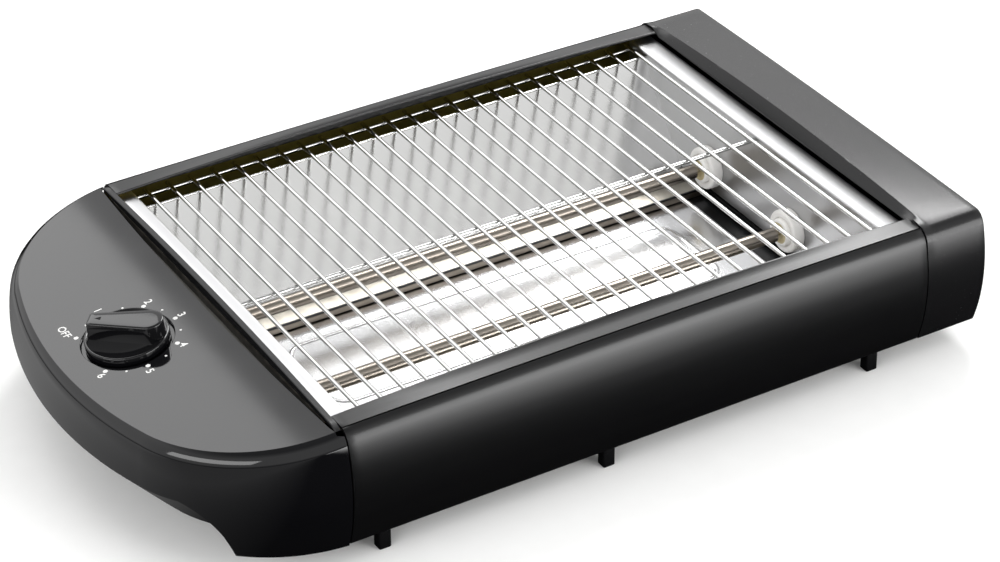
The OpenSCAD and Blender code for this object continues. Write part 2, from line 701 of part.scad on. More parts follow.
// Timer under the housing top: bushing, mounting plate, case and blades.
module timer_bushing() {
  color("#c5a04c") place() at_dial() difference() {
    union() {
      translate([0, 0, -boss_z]) cylinder(d = 11, h = 1.2);
      translate([0, 0, -boss_z]) cylinder(d = 9, h = boss_z - dish_h - 0.3);
    }
    translate([0, 0, -boss_z - 1]) cylinder(d = spindle_d + 2 * run_gap, h = boss_z + 4);
  }
}
module timer_plate() {
  color("#aeb0b2") place() at_dial() translate([0, 0, -case_z]) difference() {
    translate([-timer_w / 2, -timer_w / 2, 0]) cube([timer_w, timer_w, plate_t]);
    translate([0, 0, -1]) cylinder(d = spindle_d + 1, h = 4);
    for (y = [-screw_r, screw_r]) translate([0, y, -1]) cylinder(d = 2.6, h = 4);
  }
}
module timer_case() {
  color("#d8d4c8") place() at_dial() translate([0, 0, -case_z - timer_h]) difference() {
    translate([-timer_w / 2, -timer_w / 2, 0]) cube([timer_w, timer_w, timer_h]);
    translate([0, 0, timer_h - 9]) cylinder(d = spindle_d + 1, h = 10);
    for (y = [-screw_r, screw_r]) translate([0, y, timer_h - 6]) cylinder(d = 3.4, h = 7);
  }
}
module blade(y, room = 0) {
  at_dial() translate([8 - room, y - 3.1 - room, -case_z - timer_h - 8 - room])
    cube([0.8 + 2 * room, 6.2 + 2 * room, 8 + room]);
}
module timer_blades() {
  color("#cfae5a") place() for (y = [-blade_y, blade_y]) blade(y);
}
module timer_screws() {
  color("#b4b5b7") place() at_dial() for (y = [-screw_r, screw_r]) translate([0, y, 0]) {
    translate([0, 0, -dish_h]) cylinder(d = 5.4, h = 1.3);
    translate([0, 0, -case_z - 4]) cylinder(d = 2.6, h = case_z + 4 - dish_h + e);
  }
}

// Terminal block on the cover, its clamp screws and the inner leads.
module terminal_block() {
  color("#e4dfd2") place() difference() {
    translate([block_x - 8, block_y - 14, cover_t - cover_z]) cube([16, 28, 14]);
    for (y = [block_y - 7, block_y + 7]) {
      translate([block_x, y, block_z]) cylinder(d = 4, h = 12);
      translate([block_x - 9, y, block_z]) rotate([0, 90, 0]) cylinder(d = lead_d + 0.4, h = 20);
    }
  }
}
module terminal_screws() {
  color("#b8a060") place() for (y = [block_y - 7, block_y + 7])
    translate([block_x, y, block_z + lead_d / 2 - 0.2]) cylinder(d = 4, h = 7.5);
}
module segment(a, b) {
  d = b - a;
  translate(a) rotate([0, acos(d[2] / norm(d)), atan2(d[1], d[0])])
    cylinder(d = lead_d, h = norm(d), $fn = 32);
}
// Ball in the bend at b, turned so that its poles and its seam stay clear of both stretches.
function unit(v) = v / norm(v);
module bend(a, b, c) {
  out = unit(unit(b - a) - unit(c - b));
  pole = unit(cross(b - a, c - b));
  side = cross(pole, out);
  multmatrix([for (k = [0 : 2]) [out[k], side[k], pole[k], b[k]]])
    sphere(d = lead_d + 0.24, $fn = 32);
}
module lead(pts) {
  for (i = [0 : len(pts) - 2]) segment(pts[i], pts[i + 1]);
  for (i = [1 : len(pts) - 2]) bend(pts[i - 1], pts[i], pts[i + 1]);
}
// Crimped sleeve over a heater pin.
module sleeve(y) {
  translate([pin_l - 3, y, -tube_z]) rotate([0, 90, 0]) difference() {
    cylinder(d = 4.2, h = 6.5, $fn = 48);
    translate([0, 0, 3]) cylinder(d = pin_d, h = 5);
  }
}
// The leads are slit at the end and pushed over the blades.
module lead_live() {
  color("#7a4a2a") place() difference() {
    lead([[block_x - 2, block_y - 7, block_z], [block_x - 12, block_y - 7, block_z],
          [block_x - 12, blade_y + 8, lead_z - 2], [blade_x, blade_y, lead_z + 2],
          [blade_x, blade_y, blade_foot]]);
    blade(blade_y, blade_room);
  }
}
module lead_heater() {
  color("#d8d2c6") place() {
    sleeve(-tube_y);
    difference() {
      lead([[pin_l - 2, -tube_y, -tube_z], [pin_l - 9, -tube_y, -tube_z], [pin_l - 12, -tube_y + 4, lead_z],
            [blade_x, -blade_y, lead_z], [blade_x, -blade_y, blade_foot]]);
      blade(-blade_y, blade_room);
    }
  }
}
module lead_return() {
  color("#3c5f9a") place() {
    sleeve(tube_y);
    lead([[pin_l - 2, tube_y, -tube_z], [pin_l - 4, tube_y, -tube_z], [pin_l - 4, block_y + 7, lead_z + 1],
          [pin_l - 4, block_y + 7, block_z], [block_x + 2, block_y + 7, block_z]]);
  }
}

// Bushed inlet for a supply cord in the housing's back wall.
module cord_gland() {
  color("#191919") place() at_gland() difference() {
    union() {
      translate([0, 0, gland_seat]) cylinder(d = 14, h = 1.2);
      translate([0, 0, gland_seat - 4.2]) cylinder(d = gland_d, h = 4.2 + e);
      translate([0, 0, gland_seat - 4.2]) cylinder(d = 12, h = 2.2);
    }
    translate([0, 0, gland_seat - 6]) cylinder(d = 6.4, h = 12);
  }
}

// Screws: each set is one node.
module screw(d, l) {
  translate([0, 0, -1.8]) cylinder(d = 5.6, h = 1.8);
  translate([0, 0, -e]) cylinder(d = d, h = l);
}
module panel_screws() {
  color("#8a8b8d") place() both() for (x = panel_hole_x) translate([x, -panel_hole_y, -body_h])
    screw(2.4, 5);
}
module cap_screws() {
  color("#8a8b8d") place() both() translate([cap_boss_x, -cap_boss_y, -base_z - base_t]) screw(2.4, 11);
}
module cover_screws() {
  color("#8a8b8d") place() for (p = cover_boss) translate([p[0], p[1], -cover_z]) screw(2.4, 11);
}
module shield_screws() {
  color("#8a8b8d") place() both() translate([shield_x + bright, -shield_boss_y, -shield_boss_z])
    rotate([0, -90, 0]) screw(2.4, 9);
}

control_housing();
housing_cover();
front_panel();
back_panel();
end_cap();
base_plate();
feet();
reflector_front();
reflector_back();
end_plate_left();
end_plate_right();
seam_trim();
heat_shield();
wire_grill();
heater_tube_front();
heater_tube_back();
heater_pins();
insulators_left();
insulators_right();
pin_bushings();
link_strap();
crumb_tray();
tray_pull();
tray_rivets();
tray_rail_front();
tray_rail_back();
rail_rivets();
timer_knob();
timer_spindle();
spindle_clip();
timer_bushing();
timer_plate();
timer_case();
timer_blades();
timer_screws();
terminal_block();
terminal_screws();
lead_live();
lead_heater();
lead_return();
cord_gland();
panel_screws();
cap_screws();
cover_screws();
shield_screws();
plate_rivets();
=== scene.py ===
import json
from math import asin, atan2, cos, pi, radians, sin, sqrt

import bpy
from mathutils import Matrix, Vector


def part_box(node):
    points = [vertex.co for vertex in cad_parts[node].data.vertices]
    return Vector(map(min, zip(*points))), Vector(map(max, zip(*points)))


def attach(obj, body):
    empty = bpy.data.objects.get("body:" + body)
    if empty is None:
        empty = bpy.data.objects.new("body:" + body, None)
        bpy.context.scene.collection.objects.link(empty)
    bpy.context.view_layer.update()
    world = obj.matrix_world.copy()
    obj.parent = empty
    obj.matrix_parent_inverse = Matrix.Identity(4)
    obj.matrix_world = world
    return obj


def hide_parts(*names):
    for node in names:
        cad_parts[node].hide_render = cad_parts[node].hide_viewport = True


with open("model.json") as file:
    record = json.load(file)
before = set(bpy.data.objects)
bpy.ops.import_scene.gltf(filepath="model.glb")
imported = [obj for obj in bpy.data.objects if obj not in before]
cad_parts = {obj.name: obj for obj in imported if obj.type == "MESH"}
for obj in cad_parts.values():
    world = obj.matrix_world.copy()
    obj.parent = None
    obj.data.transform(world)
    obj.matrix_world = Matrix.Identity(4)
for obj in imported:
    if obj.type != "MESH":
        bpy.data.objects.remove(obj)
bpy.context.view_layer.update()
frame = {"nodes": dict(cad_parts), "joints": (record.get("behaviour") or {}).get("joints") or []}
nodes = frame["nodes"]
mm = 0.001

# The table and the studio round it: a pale board, a large soft box behind whose slanted edge shows in
# the gloss of the control housing, a bright one at the back right, a wide one low in front, one at the
# left and a weak fill overhead.


def srgb(code):
    shares = [int(code[i:i + 2], 16) / 255 for i in (0, 2, 4)]
    return tuple(c / 12.92 if c <= 0.04045 else ((c + 0.055) / 1.055) ** 2.4 for c in shares) + (1.0,)


def add(tree, kind, **given):
    """Adds a node. A name of one of its inputs sets or links that input, any other sets the node itself."""
    node = tree.nodes.new("ShaderNode" + kind)
    for name, value in given.items():
        if name[:2] == "in" and name[2:].isdigit():
            socket = node.inputs[int(name[2:])]
        else:
            socket = node.inputs.get(name.replace("_", " "))
        if socket is None:
            setattr(node, name, value)
        elif isinstance(value, bpy.types.NodeSocket):
            tree.links.new(value, socket)
        else:
            socket.default_value = value
    return node


def new_finish(name):
    material = bpy.data.materials.new(name)
    material.use_nodes = True
    material.node_tree.nodes.clear()
    return material, material.node_tree


def new_piece(name, points, faces, *finishes, sharp=35):
    """A mesh from points and faces, smooth but for edges sharper than the given angle."""
    mesh = bpy.data.meshes.new(name)
    mesh.from_pydata(points, [], faces)
    mesh.update()
    mesh.shade_smooth()
    mesh.set_sharp_from_angle(angle=radians(sharp))
    for finish in finishes:
        mesh.materials.append(finish)
    piece = bpy.data.objects.new(name, mesh)
    bpy.context.scene.collection.objects.link(piece)
    return piece


# Pale uncoated board: a matt, faintly fibrous off-white. In the gloss of the mouldings and in bounce light
# it is painted dark grey, a painted shade, with a painted glow along its left and front in place of the
# lamps' light.
bench_shade = "242424"
left_painted_glow, front_painted_glow = 1.0, 7.5
# Where on the board each glow starts and where it is full, in metres.
left_from, left_full = -0.15, -0.26
rear_from, rear_full, rear_low = -0.10, 0.10, 0.5
front_from, front_full = -0.24, -0.55
aside_from, aside_full = -0.04, 0.08
floor_size = 9.0
board, tree = new_finish("uncoated_board")
board.cycles.emission_sampling = "NONE"
place = add(tree, "TexCoord").outputs["Object"]
fibre = add(tree, "TexNoise", Vector=place, Scale=1 / (12 * mm), Detail=4.0)
shade = add(tree, "ValToRGB", Fac=fibre.outputs["Fac"])
shade.color_ramp.elements[0].color = srgb("f6f6f5")
shade.color_ramp.elements[1].color = srgb("fbfbfa")
paper = add(tree, "BsdfPrincipled", Base_Color=shade.outputs["Color"], Roughness=0.9,
            Specular_IOR_Level=0.1)
spot = add(tree, "SeparateXYZ", Vector=place)
left_part = add(tree, "MapRange", Value=spot.outputs["X"], From_Min=left_from, From_Max=left_full)
rear = add(tree, "MapRange", Value=spot.outputs["Y"], From_Min=rear_from, From_Max=rear_full,
           To_Min=rear_low, To_Max=1.0)
left_part = add(tree, "Math", operation="MULTIPLY", in0=left_part.outputs[0], in1=rear.outputs[0])
front_part = add(tree, "MapRange", Value=spot.outputs["Y"], From_Min=front_from, From_Max=front_full,
                 To_Max=front_painted_glow)
aside = add(tree, "MapRange", Value=spot.outputs["X"], From_Min=aside_from, From_Max=aside_full)
front_part = add(tree, "Math", operation="MULTIPLY", in0=front_part.outputs[0], in1=aside.outputs[0])
# Painted glow: emission seen only in reflections, standing in for lamp light lying on the board.
glow = add(tree, "Math", operation="MULTIPLY_ADD", in0=left_part.outputs[0], in1=left_painted_glow,
           in2=front_part.outputs[0])
ray = add(tree, "LightPath")
glow = add(tree, "Math", operation="MULTIPLY", in0=glow.outputs[0], in1=ray.outputs["Is Glossy Ray"])
bench = add(tree, "AddShader", in0=add(tree, "BsdfDiffuse", Color=srgb(bench_shade)).outputs[0],
            in1=add(tree, "Emission", Strength=glow.outputs[0]).outputs[0])
seen = add(tree, "Math", operation="MAXIMUM", in0=ray.outputs["Is Camera Ray"],
           in1=ray.outputs["Is Transmission Ray"])
ground_look = add(tree, "MixShader", in0=seen.outputs[0], in1=bench.outputs[0], in2=paper.outputs["BSDF"])
add(tree, "OutputMaterial", Surface=ground_look.outputs[0])
edge = floor_size / 2
floor = new_piece("floor", [(-edge, -edge, 0), (edge, -edge, 0), (edge, edge, 0), (-edge, edge, 0)],
                  [(0, 1, 2, 3)], board)

# The room has white walls over a dim skirting, the back one lit most, and a dim ceiling, which draw the
# creases and wires dark. Angles are heights above the table, and back_full is a share of straight back.
sky_fill = 0.78
ceiling_shade, ceiling_from, ceiling_full = 0.3, radians(47), radians(66)
skirting_shade, skirting_top = 0.08, radians(7)
back_wall, back_full = 1.4, 0.5
world = bpy.data.worlds.new("studio")
bpy.context.scene.world = world
world.use_nodes = True
tree = world.node_tree
tree.nodes.clear()
ray = add(tree, "LightPath")
aim = add(tree, "SeparateXYZ", Vector=add(tree, "TexCoord").outputs["Generated"])
wall = add(tree, "MapRange", Value=aim.outputs["Z"], From_Min=sin(ceiling_from), From_Max=sin(ceiling_full),
           To_Min=1.0, To_Max=ceiling_shade)
skirting = add(tree, "MapRange", Value=aim.outputs["Z"], From_Min=0.0, From_Max=sin(skirting_top),
               To_Min=skirting_shade, To_Max=1.0)
wall = add(tree, "Math", operation="MULTIPLY", in0=wall.outputs[0], in1=skirting.outputs[0])
behind = add(tree, "MapRange", Value=aim.outputs["Y"], From_Min=0.0, From_Max=back_full,
             To_Min=1.0, To_Max=back_wall)
wall = add(tree, "Math", operation="MULTIPLY", in0=wall.outputs[0], in1=behind.outputs[0])
seen = add(tree, "Math", operation="MAXIMUM", in0=ray.outputs["Is Camera Ray"],
           in1=ray.outputs["Is Transmission Ray"])
level = add(tree, "MapRange", Value=seen.outputs[0], To_Min=sky_fill, To_Max=1.0)
level = add(tree, "MapRange", Value=ray.outputs["Is Glossy Ray"], To_Min=level.outputs[0],
            To_Max=wall.outputs[0])
sky = add(tree, "Background", Color=srgb("ffffff"), Strength=level.outputs[0])
add(tree, "OutputWorld", Surface=sky.outputs[0])


def soft_box(name, place, aim, size, radiance, roll=0, mirrored=True):
    """A soft box of the given size in metres, whose face has the given brightness, white being 1."""
    lamp = bpy.data.lights.new(name, "AREA")
    lamp.shape = "RECTANGLE"
    lamp.size, lamp.size_y = size
    lamp.energy = radiance * pi * size[0] * size[1]
    box = bpy.data.objects.new(name, lamp)
    turn = (Vector(aim) - Vector(place)).to_track_quat("-Z", "Y").to_matrix().to_4x4()
    box.matrix_world = Matrix.Translation(place) @ turn @ Matrix.Rotation(radians(roll), 4, "Z")
    box.visible_glossy = mirrored
    bpy.context.scene.collection.objects.link(box)


# Place, aim and size in metres, then the brightness of the face.
soft_box("back_box", (-0.21, 1.30, 1.25), (-0.21, 0, 1.25), (0.9, 0.9), 2.4, roll=18)
soft_box("side_box", (0.80, 0.763, 1.105), (0.12, -0.08, 0.06), (0.48, 0.60), 15.0)
soft_box("front_box", (1.15, -1.50, 0.50), (1.15, 0, 0.50), (1.7, 0.96), 6.2)
soft_box("left_box", (-1.45, -0.55, 0.80), (0.1, 0, 0.03), (1.5, 0.5), 5.5)
soft_box("top_box", (0, -0.2, 1.9), (0, 0, 0), (1.5, 1.5), 0.6, mirrored=False)

# The camera stands as the photo's did, turned to the left of the front and looking down.
camera_turn = radians(-30.63)
camera_drop = radians(32.85)
camera_roll = radians(-0.5)
camera_place = Vector((-0.5664, -0.9866, 0.7687))
camera_lens, camera_sensor = 115.07, 36.0
back = Vector((sin(camera_turn) * cos(camera_drop), -cos(camera_turn) * cos(camera_drop), sin(camera_drop)))
right = Vector((cos(camera_turn), sin(camera_turn), 0))
up = back.cross(right)
rolled_right = cos(camera_roll) * right + sin(camera_roll) * up
rolled_up = cos(camera_roll) * up - sin(camera_roll) * right
camera = bpy.data.objects.new("camera", bpy.data.cameras.new("camera"))
camera.matrix_world = Matrix((rolled_right, rolled_up, back)).transposed().to_4x4()
camera.matrix_world.translation = camera_place
camera.data.lens = camera_lens
camera.data.sensor_width = camera_sensor
bpy.context.scene.collection.objects.link(camera)
bpy.context.scene.camera = camera
bpy.context.scene.view_settings.view_transform = "Standard"

# Tray rails, heat shield, brackets, screws and rivets: galvanised sheet and plated steel, cut and folded
# from coil stock, hidden but for the lining of the base plate's opening and the shield's top edge.
# Zinc freezes in flat crystals a few millimetres wide, so its grey sheen changes from grain to grain.
zinc, tree = new_finish("galvanised_steel")
place = add(tree, "TexCoord").outputs["Object"]
spangle = add(tree, "TexVoronoi", Vector=place, Scale=1 / (6 * mm))
tone = add(tree, "ValToRGB", Fac=spangle.outputs["Distance"])
tone.color_ramp.elements[0].color = srgb("989389")
tone.color_ramp.elements[1].color = srgb("b5b0a6")
haze = add(tree, "MapRange", Value=spangle.outputs["Distance"], To_Min=0.28, To_Max=0.45)
shader = add(tree, "BsdfPrincipled", Base_Color=tone.outputs["Color"], Roughness=haze.outputs[0],
             Metallic=1.0)
add(tree, "OutputMaterial", Surface=shader.outputs["BSDF"])


def dress(material, *names):
    for name in names:
        for held in nodes[name].material_slots:
            held.material = material


dress(zinc, "heat_shield", "tray_rail_front", "tray_rail_back", "timer_plate", "timer_spindle",
      "spindle_clip", "heater_pins", "link_strap", "panel_screws", "cap_screws", "cover_screws",
      "shield_screws", "plate_rivets", "rail_rivets", "tray_rivets", "timer_screws")

# Heating chamber: two sloped reflectors and two end plates of bright rolled steel, folded and riveted to
# the base plate. Each end plate turns over at the top in a flat strip that reaches to the seam.
# Bright-rolled steel mirrors softly, drawn out along the rolling direction by lines finer than these.
bright, tree = new_finish("bright_rolled_steel")
place = add(tree, "TexCoord").outputs["Object"]
rolled = add(tree, "Mapping", Vector=place, Scale=(1 / (70 * mm), 1 / (1.2 * mm), 1 / (1.2 * mm)))
lines = add(tree, "TexNoise", Vector=rolled.outputs[0], Scale=1.0, Detail=3.0)
cloud = add(tree, "TexNoise", Vector=place, Scale=1 / (40 * mm), Detail=2.0)
tone = add(tree, "ValToRGB", Fac=cloud.outputs["Fac"])
tone.color_ramp.elements[0].color = srgb("cbcbca")
tone.color_ramp.elements[1].color = srgb("d8d8d7")
haze = add(tree, "MapRange", Value=lines.outputs["Fac"], To_Min=0.13, To_Max=0.19)
shader = add(tree, "BsdfPrincipled", Base_Color=tone.outputs["Color"], Roughness=haze.outputs[0],
             Metallic=1.0)
add(tree, "OutputMaterial", Surface=shader.outputs["BSDF"])
dress(bright, "reflector_front", "reflector_back")

# The end plates are fine-ground across, which leaves a soft satin that shows no clear image.
ground, tree = new_finish("ground_bright_steel")
place = add(tree, "TexCoord").outputs["Object"]
rolled = add(tree, "Mapping", Vector=place, Scale=(1 / (1.2 * mm), 1 / (80 * mm), 1 / (1.2 * mm)))
lines = add(tree, "TexNoise", Vector=rolled.outputs[0], Scale=1.0, Detail=2.0)
haze = add(tree, "MapRange", Value=lines.outputs["Fac"], To_Min=0.27, To_Max=0.33)
shader = add(tree, "BsdfPrincipled", Base_Color=srgb("bebebf"), Roughness=haze.outputs[0], Metallic=1.0)
add(tree, "OutputMaterial", Surface=shader.outputs["BSDF"])

seam_gap = 0.3
left_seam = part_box("front_panel")[0].x - seam_gap * mm
top_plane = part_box("front_panel")[1].z
plate_wall, right_wall = 9.2, 262.5
plate_top, plate_foot = -3.0, -48.8
plate_half = 100.5
plate_sheet = 0.8


def at(x, y, z):
    """A point in millimetres from the middle of the left seam, level with the panels' top crease."""
    return Vector((left_seam + x * mm, y * mm, top_plane + z * mm))


def net(rows, closed=False, flip=False):
    """Points and four-sided faces of a net of rows with equally many points. A closed one joins up."""
    wide = len(rows[0])
    points = [point for row in rows for point in row]
    faces = []
    for r in range(len(rows) - 1):
        for c in range(wide if closed else wide - 1):
            a = r * wide + c
            b = r * wide + (c + 1) % wide
            face = (a, b, b + wide, a + wide)
            faces.append(face[::-1] if flip else face)
    return points, faces


def capped(rows, flip=False):
    """Points and faces of a closed net whose first and last rows are filled in."""
    points, faces = net(rows, closed=True, flip=flip)
    first = tuple(range(len(rows[0])))
    last = tuple(range(len(points) - len(first), len(points)))
    faces += [first, last[::-1]] if flip else [first[::-1], last]
    return points, faces


def fold(piece, thick, rounding):
    """Gives a net the thickness of its sheet, inwards from its faces, and breaks its edges."""
    skin = piece.modifiers.new("sheet", "SOLIDIFY")
    skin.thickness = thick * mm
    skin.offset = -1.0
    skin.use_even_offset = True
    skin.material_offset = len(piece.data.materials) - 1
    edge = piece.modifiers.new("edges", "BEVEL")
    edge.width = rounding * mm
    edge.segments = 2
    edge.limit_method = "ANGLE"
    edge.angle_limit = radians(60)


# A galvanised strip lines each long side of the base plate's opening, turned down just above the tray.
# Its turned-down edge is painted a dull brown, uneven along the strip, as painted shade for the shadow
# under the tubes.
painted_shade_zinc, tree = new_finish("shade_browned_zinc")
place = add(tree, "TexCoord").outputs["Object"]
shade_mottle = add(tree, "TexNoise", Vector=place, Scale=1 / (25 * mm), Detail=3.0)
tone = add(tree, "ValToRGB", Fac=shade_mottle.outputs["Fac"])
tone.color_ramp.elements[0].color = srgb("766e66")
tone.color_ramp.elements[1].color = srgb("9c9489")
shader = add(tree, "BsdfPrincipled", Base_Color=tone.outputs["Color"], Roughness=0.45, Metallic=1.0)
add(tree, "OutputMaterial", Surface=shader.outputs["BSDF"])
hem_y, hem_low, hem_t, hem_wide = 35.7, -52.4, 0.9, 13.0
hem_from, hem_to = 11.0, 262.0
hem_top = plate_foot + 0.05
hem_bend = 0.8
hem_corner = (0.25, 0.2)
for name, way in (("front", -1), ("back", 1)):
    line = [(hem_y + hem_wide, hem_top), (hem_y + hem_bend, hem_top),
            (hem_y + hem_corner[0], plate_foot - hem_corner[1]), (hem_y, plate_foot - hem_bend),
            (hem_y, hem_low)]
    rows = [[at(hem_from + (hem_to - hem_from) * i / 12, way * y, z) for y, z in line] for i in range(13)]
    hem = new_piece("base_plate_hem_" + name, *net(rows, flip=way < 0), zinc, painted_shade_zinc)
    # The turned-down faces take the painted-shade brown.
    hem.data.polygons.foreach_set("material_index", [0, 0, 1, 1] * (len(rows) - 1))
    fold(hem, hem_t, rounding=0.1)
    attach(hem, "body")

# The top edge of each reflector is rolled over to a thin bright hem.
roll_y, roll_z, roll_r = 88.35, -6.35, 0.55
roll_from, roll_long = 10.0, 251.5
for name, way in (("front", -1), ("back", 1)):
    turns = [pi * k / 6 for k in range(12)]
    rows = [[at(roll_from + roll_long * i / 12, way * (roll_y + roll_r * cos(t)), roll_z + roll_r * sin(t))
             for t in turns] for i in range(13)]
    rolled_edge = new_piece("reflector_hem_" + name, *capped(rows, flip=way < 0), bright)
    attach(rolled_edge, "body")

plate_bend = 1.2
plate_flange = 8.8
wall_step = 8.0
strip_start = 0.5
# The wall of each end plate, the way its strip goes, how far that reaches and how steeply it falls.
end_plates = [("left", plate_wall, -1, 9.4, 0), ("right", right_wall, 1, 11.4, 0.09)]
for name, wall, way, reach, fall in end_plates:
    # Distance behind the wall and level, from the foot flange up the wall to the strip's outer edge.
    line = [(plate_flange, plate_foot), (plate_bend, plate_foot), (0, plate_foot + plate_bend)]
    line += [(0, plate_foot + wall_step * i) for i in range(1, 6)]
    line += [(plate_bend * (1 - cos(radians(t))), plate_top - plate_bend * (1 - sin(radians(t))))
             for t in range(0, 91, 15)]
    line += [(plate_bend + strip_start, plate_top - strip_start * fall),
             (reach, plate_top - (reach - plate_bend) * fall)]
    across = [-plate_half + 2 * plate_half * i / 24 for i in range(25)]
    rows = [[at(wall + way * u, y, z) for u, z in line] for y in across]
    plate = new_piece("chamber_end_" + name, *net(rows, flip=way < 0), ground)
    fold(plate, plate_sheet, rounding=0.15)
    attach(plate, "body")
    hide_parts("end_plate_" + name)

# Heating tubes: drawn steel sheaths round a packed element, carried at both ends by the insulators.
# Heat has tinted the polish a brownish grey, in long uneven bands with drawing lines along the tube.
sheath, tree = new_finish("heat_tinted_tube_steel")
place = add(tree, "TexCoord").outputs["Object"]
drawn = add(tree, "Mapping", Vector=place, Scale=(1 / (45 * mm), 1 / (1.1 * mm), 1 / (1.1 * mm)))
lines = add(tree, "TexNoise", Vector=drawn.outputs[0], Scale=1.0, Detail=3.0)
tint = add(tree, "TexNoise", Vector=place, Scale=1 / (22 * mm), Detail=2.0)
tone = add(tree, "ValToRGB", Fac=tint.outputs["Fac"])
tone.color_ramp.elements[0].color = srgb("857d75")
tone.color_ramp.elements[1].color = srgb("aaa399")
haze = add(tree, "MapRange", Value=lines.outputs["Fac"], To_Min=0.25, To_Max=0.31)
shader = add(tree, "BsdfPrincipled", Base_Color=tone.outputs["Color"], Roughness=haze.outputs[0],
             Metallic=1.0)
add(tree, "OutputMaterial", Surface=shader.outputs["BSDF"])
dress(sheath, "heater_tube_front", "heater_tube_back")

# Insulators: pressed and fired ceramic shoulders in the end plates, with a groove round the raised seat
# that holds each tube. The half glaze is white and smooth, and heat has yellowed the seat.
ceramic, tree = new_finish("half_glazed_ceramic")
place = add(tree, "TexCoord").outputs["Object"]
grain = add(tree, "TexNoise", Vector=place, Scale=1 / (1.5 * mm), Detail=3.0)
tone = add(tree, "ValToRGB", Fac=grain.outputs["Fac"])
tone.color_ramp.elements[0].color = srgb("f4f2ee")
tone.color_ramp.elements[1].color = srgb("fdfcfa")
shader = add(tree, "BsdfPrincipled", Base_Color=tone.outputs["Color"], Roughness=0.3)
add(tree, "OutputMaterial", Surface=shader.outputs["BSDF"])
seat, tree = new_finish("heat_yellowed_ceramic")
place = add(tree, "TexCoord").outputs["Object"]
grain = add(tree, "TexNoise", Vector=place, Scale=1 / (1.2 * mm), Detail=3.0)
tone = add(tree, "ValToRGB", Fac=grain.outputs["Fac"])
tone.color_ramp.elements[0].color = srgb("b9a878")
tone.color_ramp.elements[1].color = srgb("d9cca2")
shader = add(tree, "BsdfPrincipled", Base_Color=tone.outputs["Color"], Roughness=0.4)
add(tree, "OutputMaterial", Surface=shader.outputs["BSDF"])
dress(seat, "pin_bushings")
dress(ceramic, "terminal_block")

tube_y, tube_z = 31.5, -35.4
shoulder_r = 9.8
bush_r = (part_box("pin_bushings")[1].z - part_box("pin_bushings")[0].z) / 2 / mm
shank_r = 5.0
# Radius and height above the end plate, from the shank's end to the hole in the seat.
shoulder = [(bush_r, -6), (shank_r, -6), (shank_r, 0), (9.2, 0), (9.6, 0.15), (shoulder_r, 0.6),
            (shoulder_r, 4.5), (9.55, 5.15), (9.0, 5.5), (7.4, 5.5), (7.0, 5.3), (6.8, 4.9), (6.75, 3.9),
            (6.3, 3.9), (6.25, 6.3), (6.0, 6.8), (5.5, 7.05), (4.9, 7.05), (bush_r + 0.3, 7.0),
            (bush_r, 6.7), (bush_r, -6)]
# From this ring on, up to the hole, the ceramic is yellowed.
seat_from = 17
around = 48


def gather(points, faces, more):
    """Adds the points and faces of one more net to those of a piece."""
    faces += [tuple(i + len(points) for i in face) for face in more[1]]
    points += more[0]


for name, wall, way in (("insulators_left", plate_wall, 1), ("insulators_right", right_wall, -1)):
    points, faces, kinds = [], [], []
    for y in (-tube_y, tube_y):
        rows = [[at(wall + way * h, y + r * cos(2 * pi * k / around), tube_z + r * sin(2 * pi * k / around))
                 for k in range(around)] for r, h in shoulder]
        gather(points, faces, net(rows, closed=True, flip=way < 0))
        for ring in range(len(shoulder) - 1):
            kinds += [1 if seat_from <= ring < len(shoulder) - 2 else 0] * around
    shoulders = new_piece("ceramic_" + name, points, faces, ceramic, seat, sharp=50)
    shoulders.data.polygons.foreach_set("material_index", kinds)
    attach(shoulders, "body")
    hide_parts(name)

# Wire grill: drawn wires spot-welded across three rods and chromium plated together.
# Chrome is a hard clear mirror with a trace of haze from the plating bath.
chrome, tree = new_finish("chromed_wire")
place = add(tree, "TexCoord").outputs["Object"]
cloud = add(tree, "TexNoise", Vector=place, Scale=1 / (9 * mm), Detail=2.0)
haze = add(tree, "MapRange", Value=cloud.outputs["Fac"], To_Min=0.07, To_Max=0.14)
shader = add(tree, "BsdfPrincipled", Base_Color=srgb("b8b8b7"), Roughness=haze.outputs[0], Metallic=1.0)
add(tree, "OutputMaterial", Surface=shader.outputs["BSDF"])
dress(chrome, "wire_grill")

# Side panels: sheet steel pressed to a bulged side, a flat flange with a turned-down inner lip and a fine
# groove along the crease. The flange crowns at mid-length. They are screwed on through the foot.
# Baked enamel is a satin black with faint streaks from the spray gun. The base plate has the same coat.
enamel, tree = new_finish("black_baked_enamel")
place = add(tree, "TexCoord").outputs["Object"]
sprayed = add(tree, "Mapping", Vector=place, Scale=(1 / (90 * mm), 1 / (2.2 * mm), 1 / (2.2 * mm)))
streaks = add(tree, "TexNoise", Vector=sprayed.outputs[0], Scale=1.0, Detail=4.0)
tone = add(tree, "ValToRGB", Fac=streaks.outputs["Fac"])
tone.color_ramp.elements[0].color = srgb("070708")
tone.color_ramp.elements[1].color = srgb("0b0b0c")
haze = add(tree, "MapRange", Value=streaks.outputs["Fac"], To_Min=0.26, To_Max=0.32)
shader = add(tree, "BsdfPrincipled", Base_Color=tone.outputs["Color"], Roughness=haze.outputs[0], IOR=1.45)
add(tree, "OutputMaterial", Surface=shader.outputs["BSDF"])
# Where the base plate's end shows by the right end plate, its black is a painted shade.
dress(enamel, "base_plate")
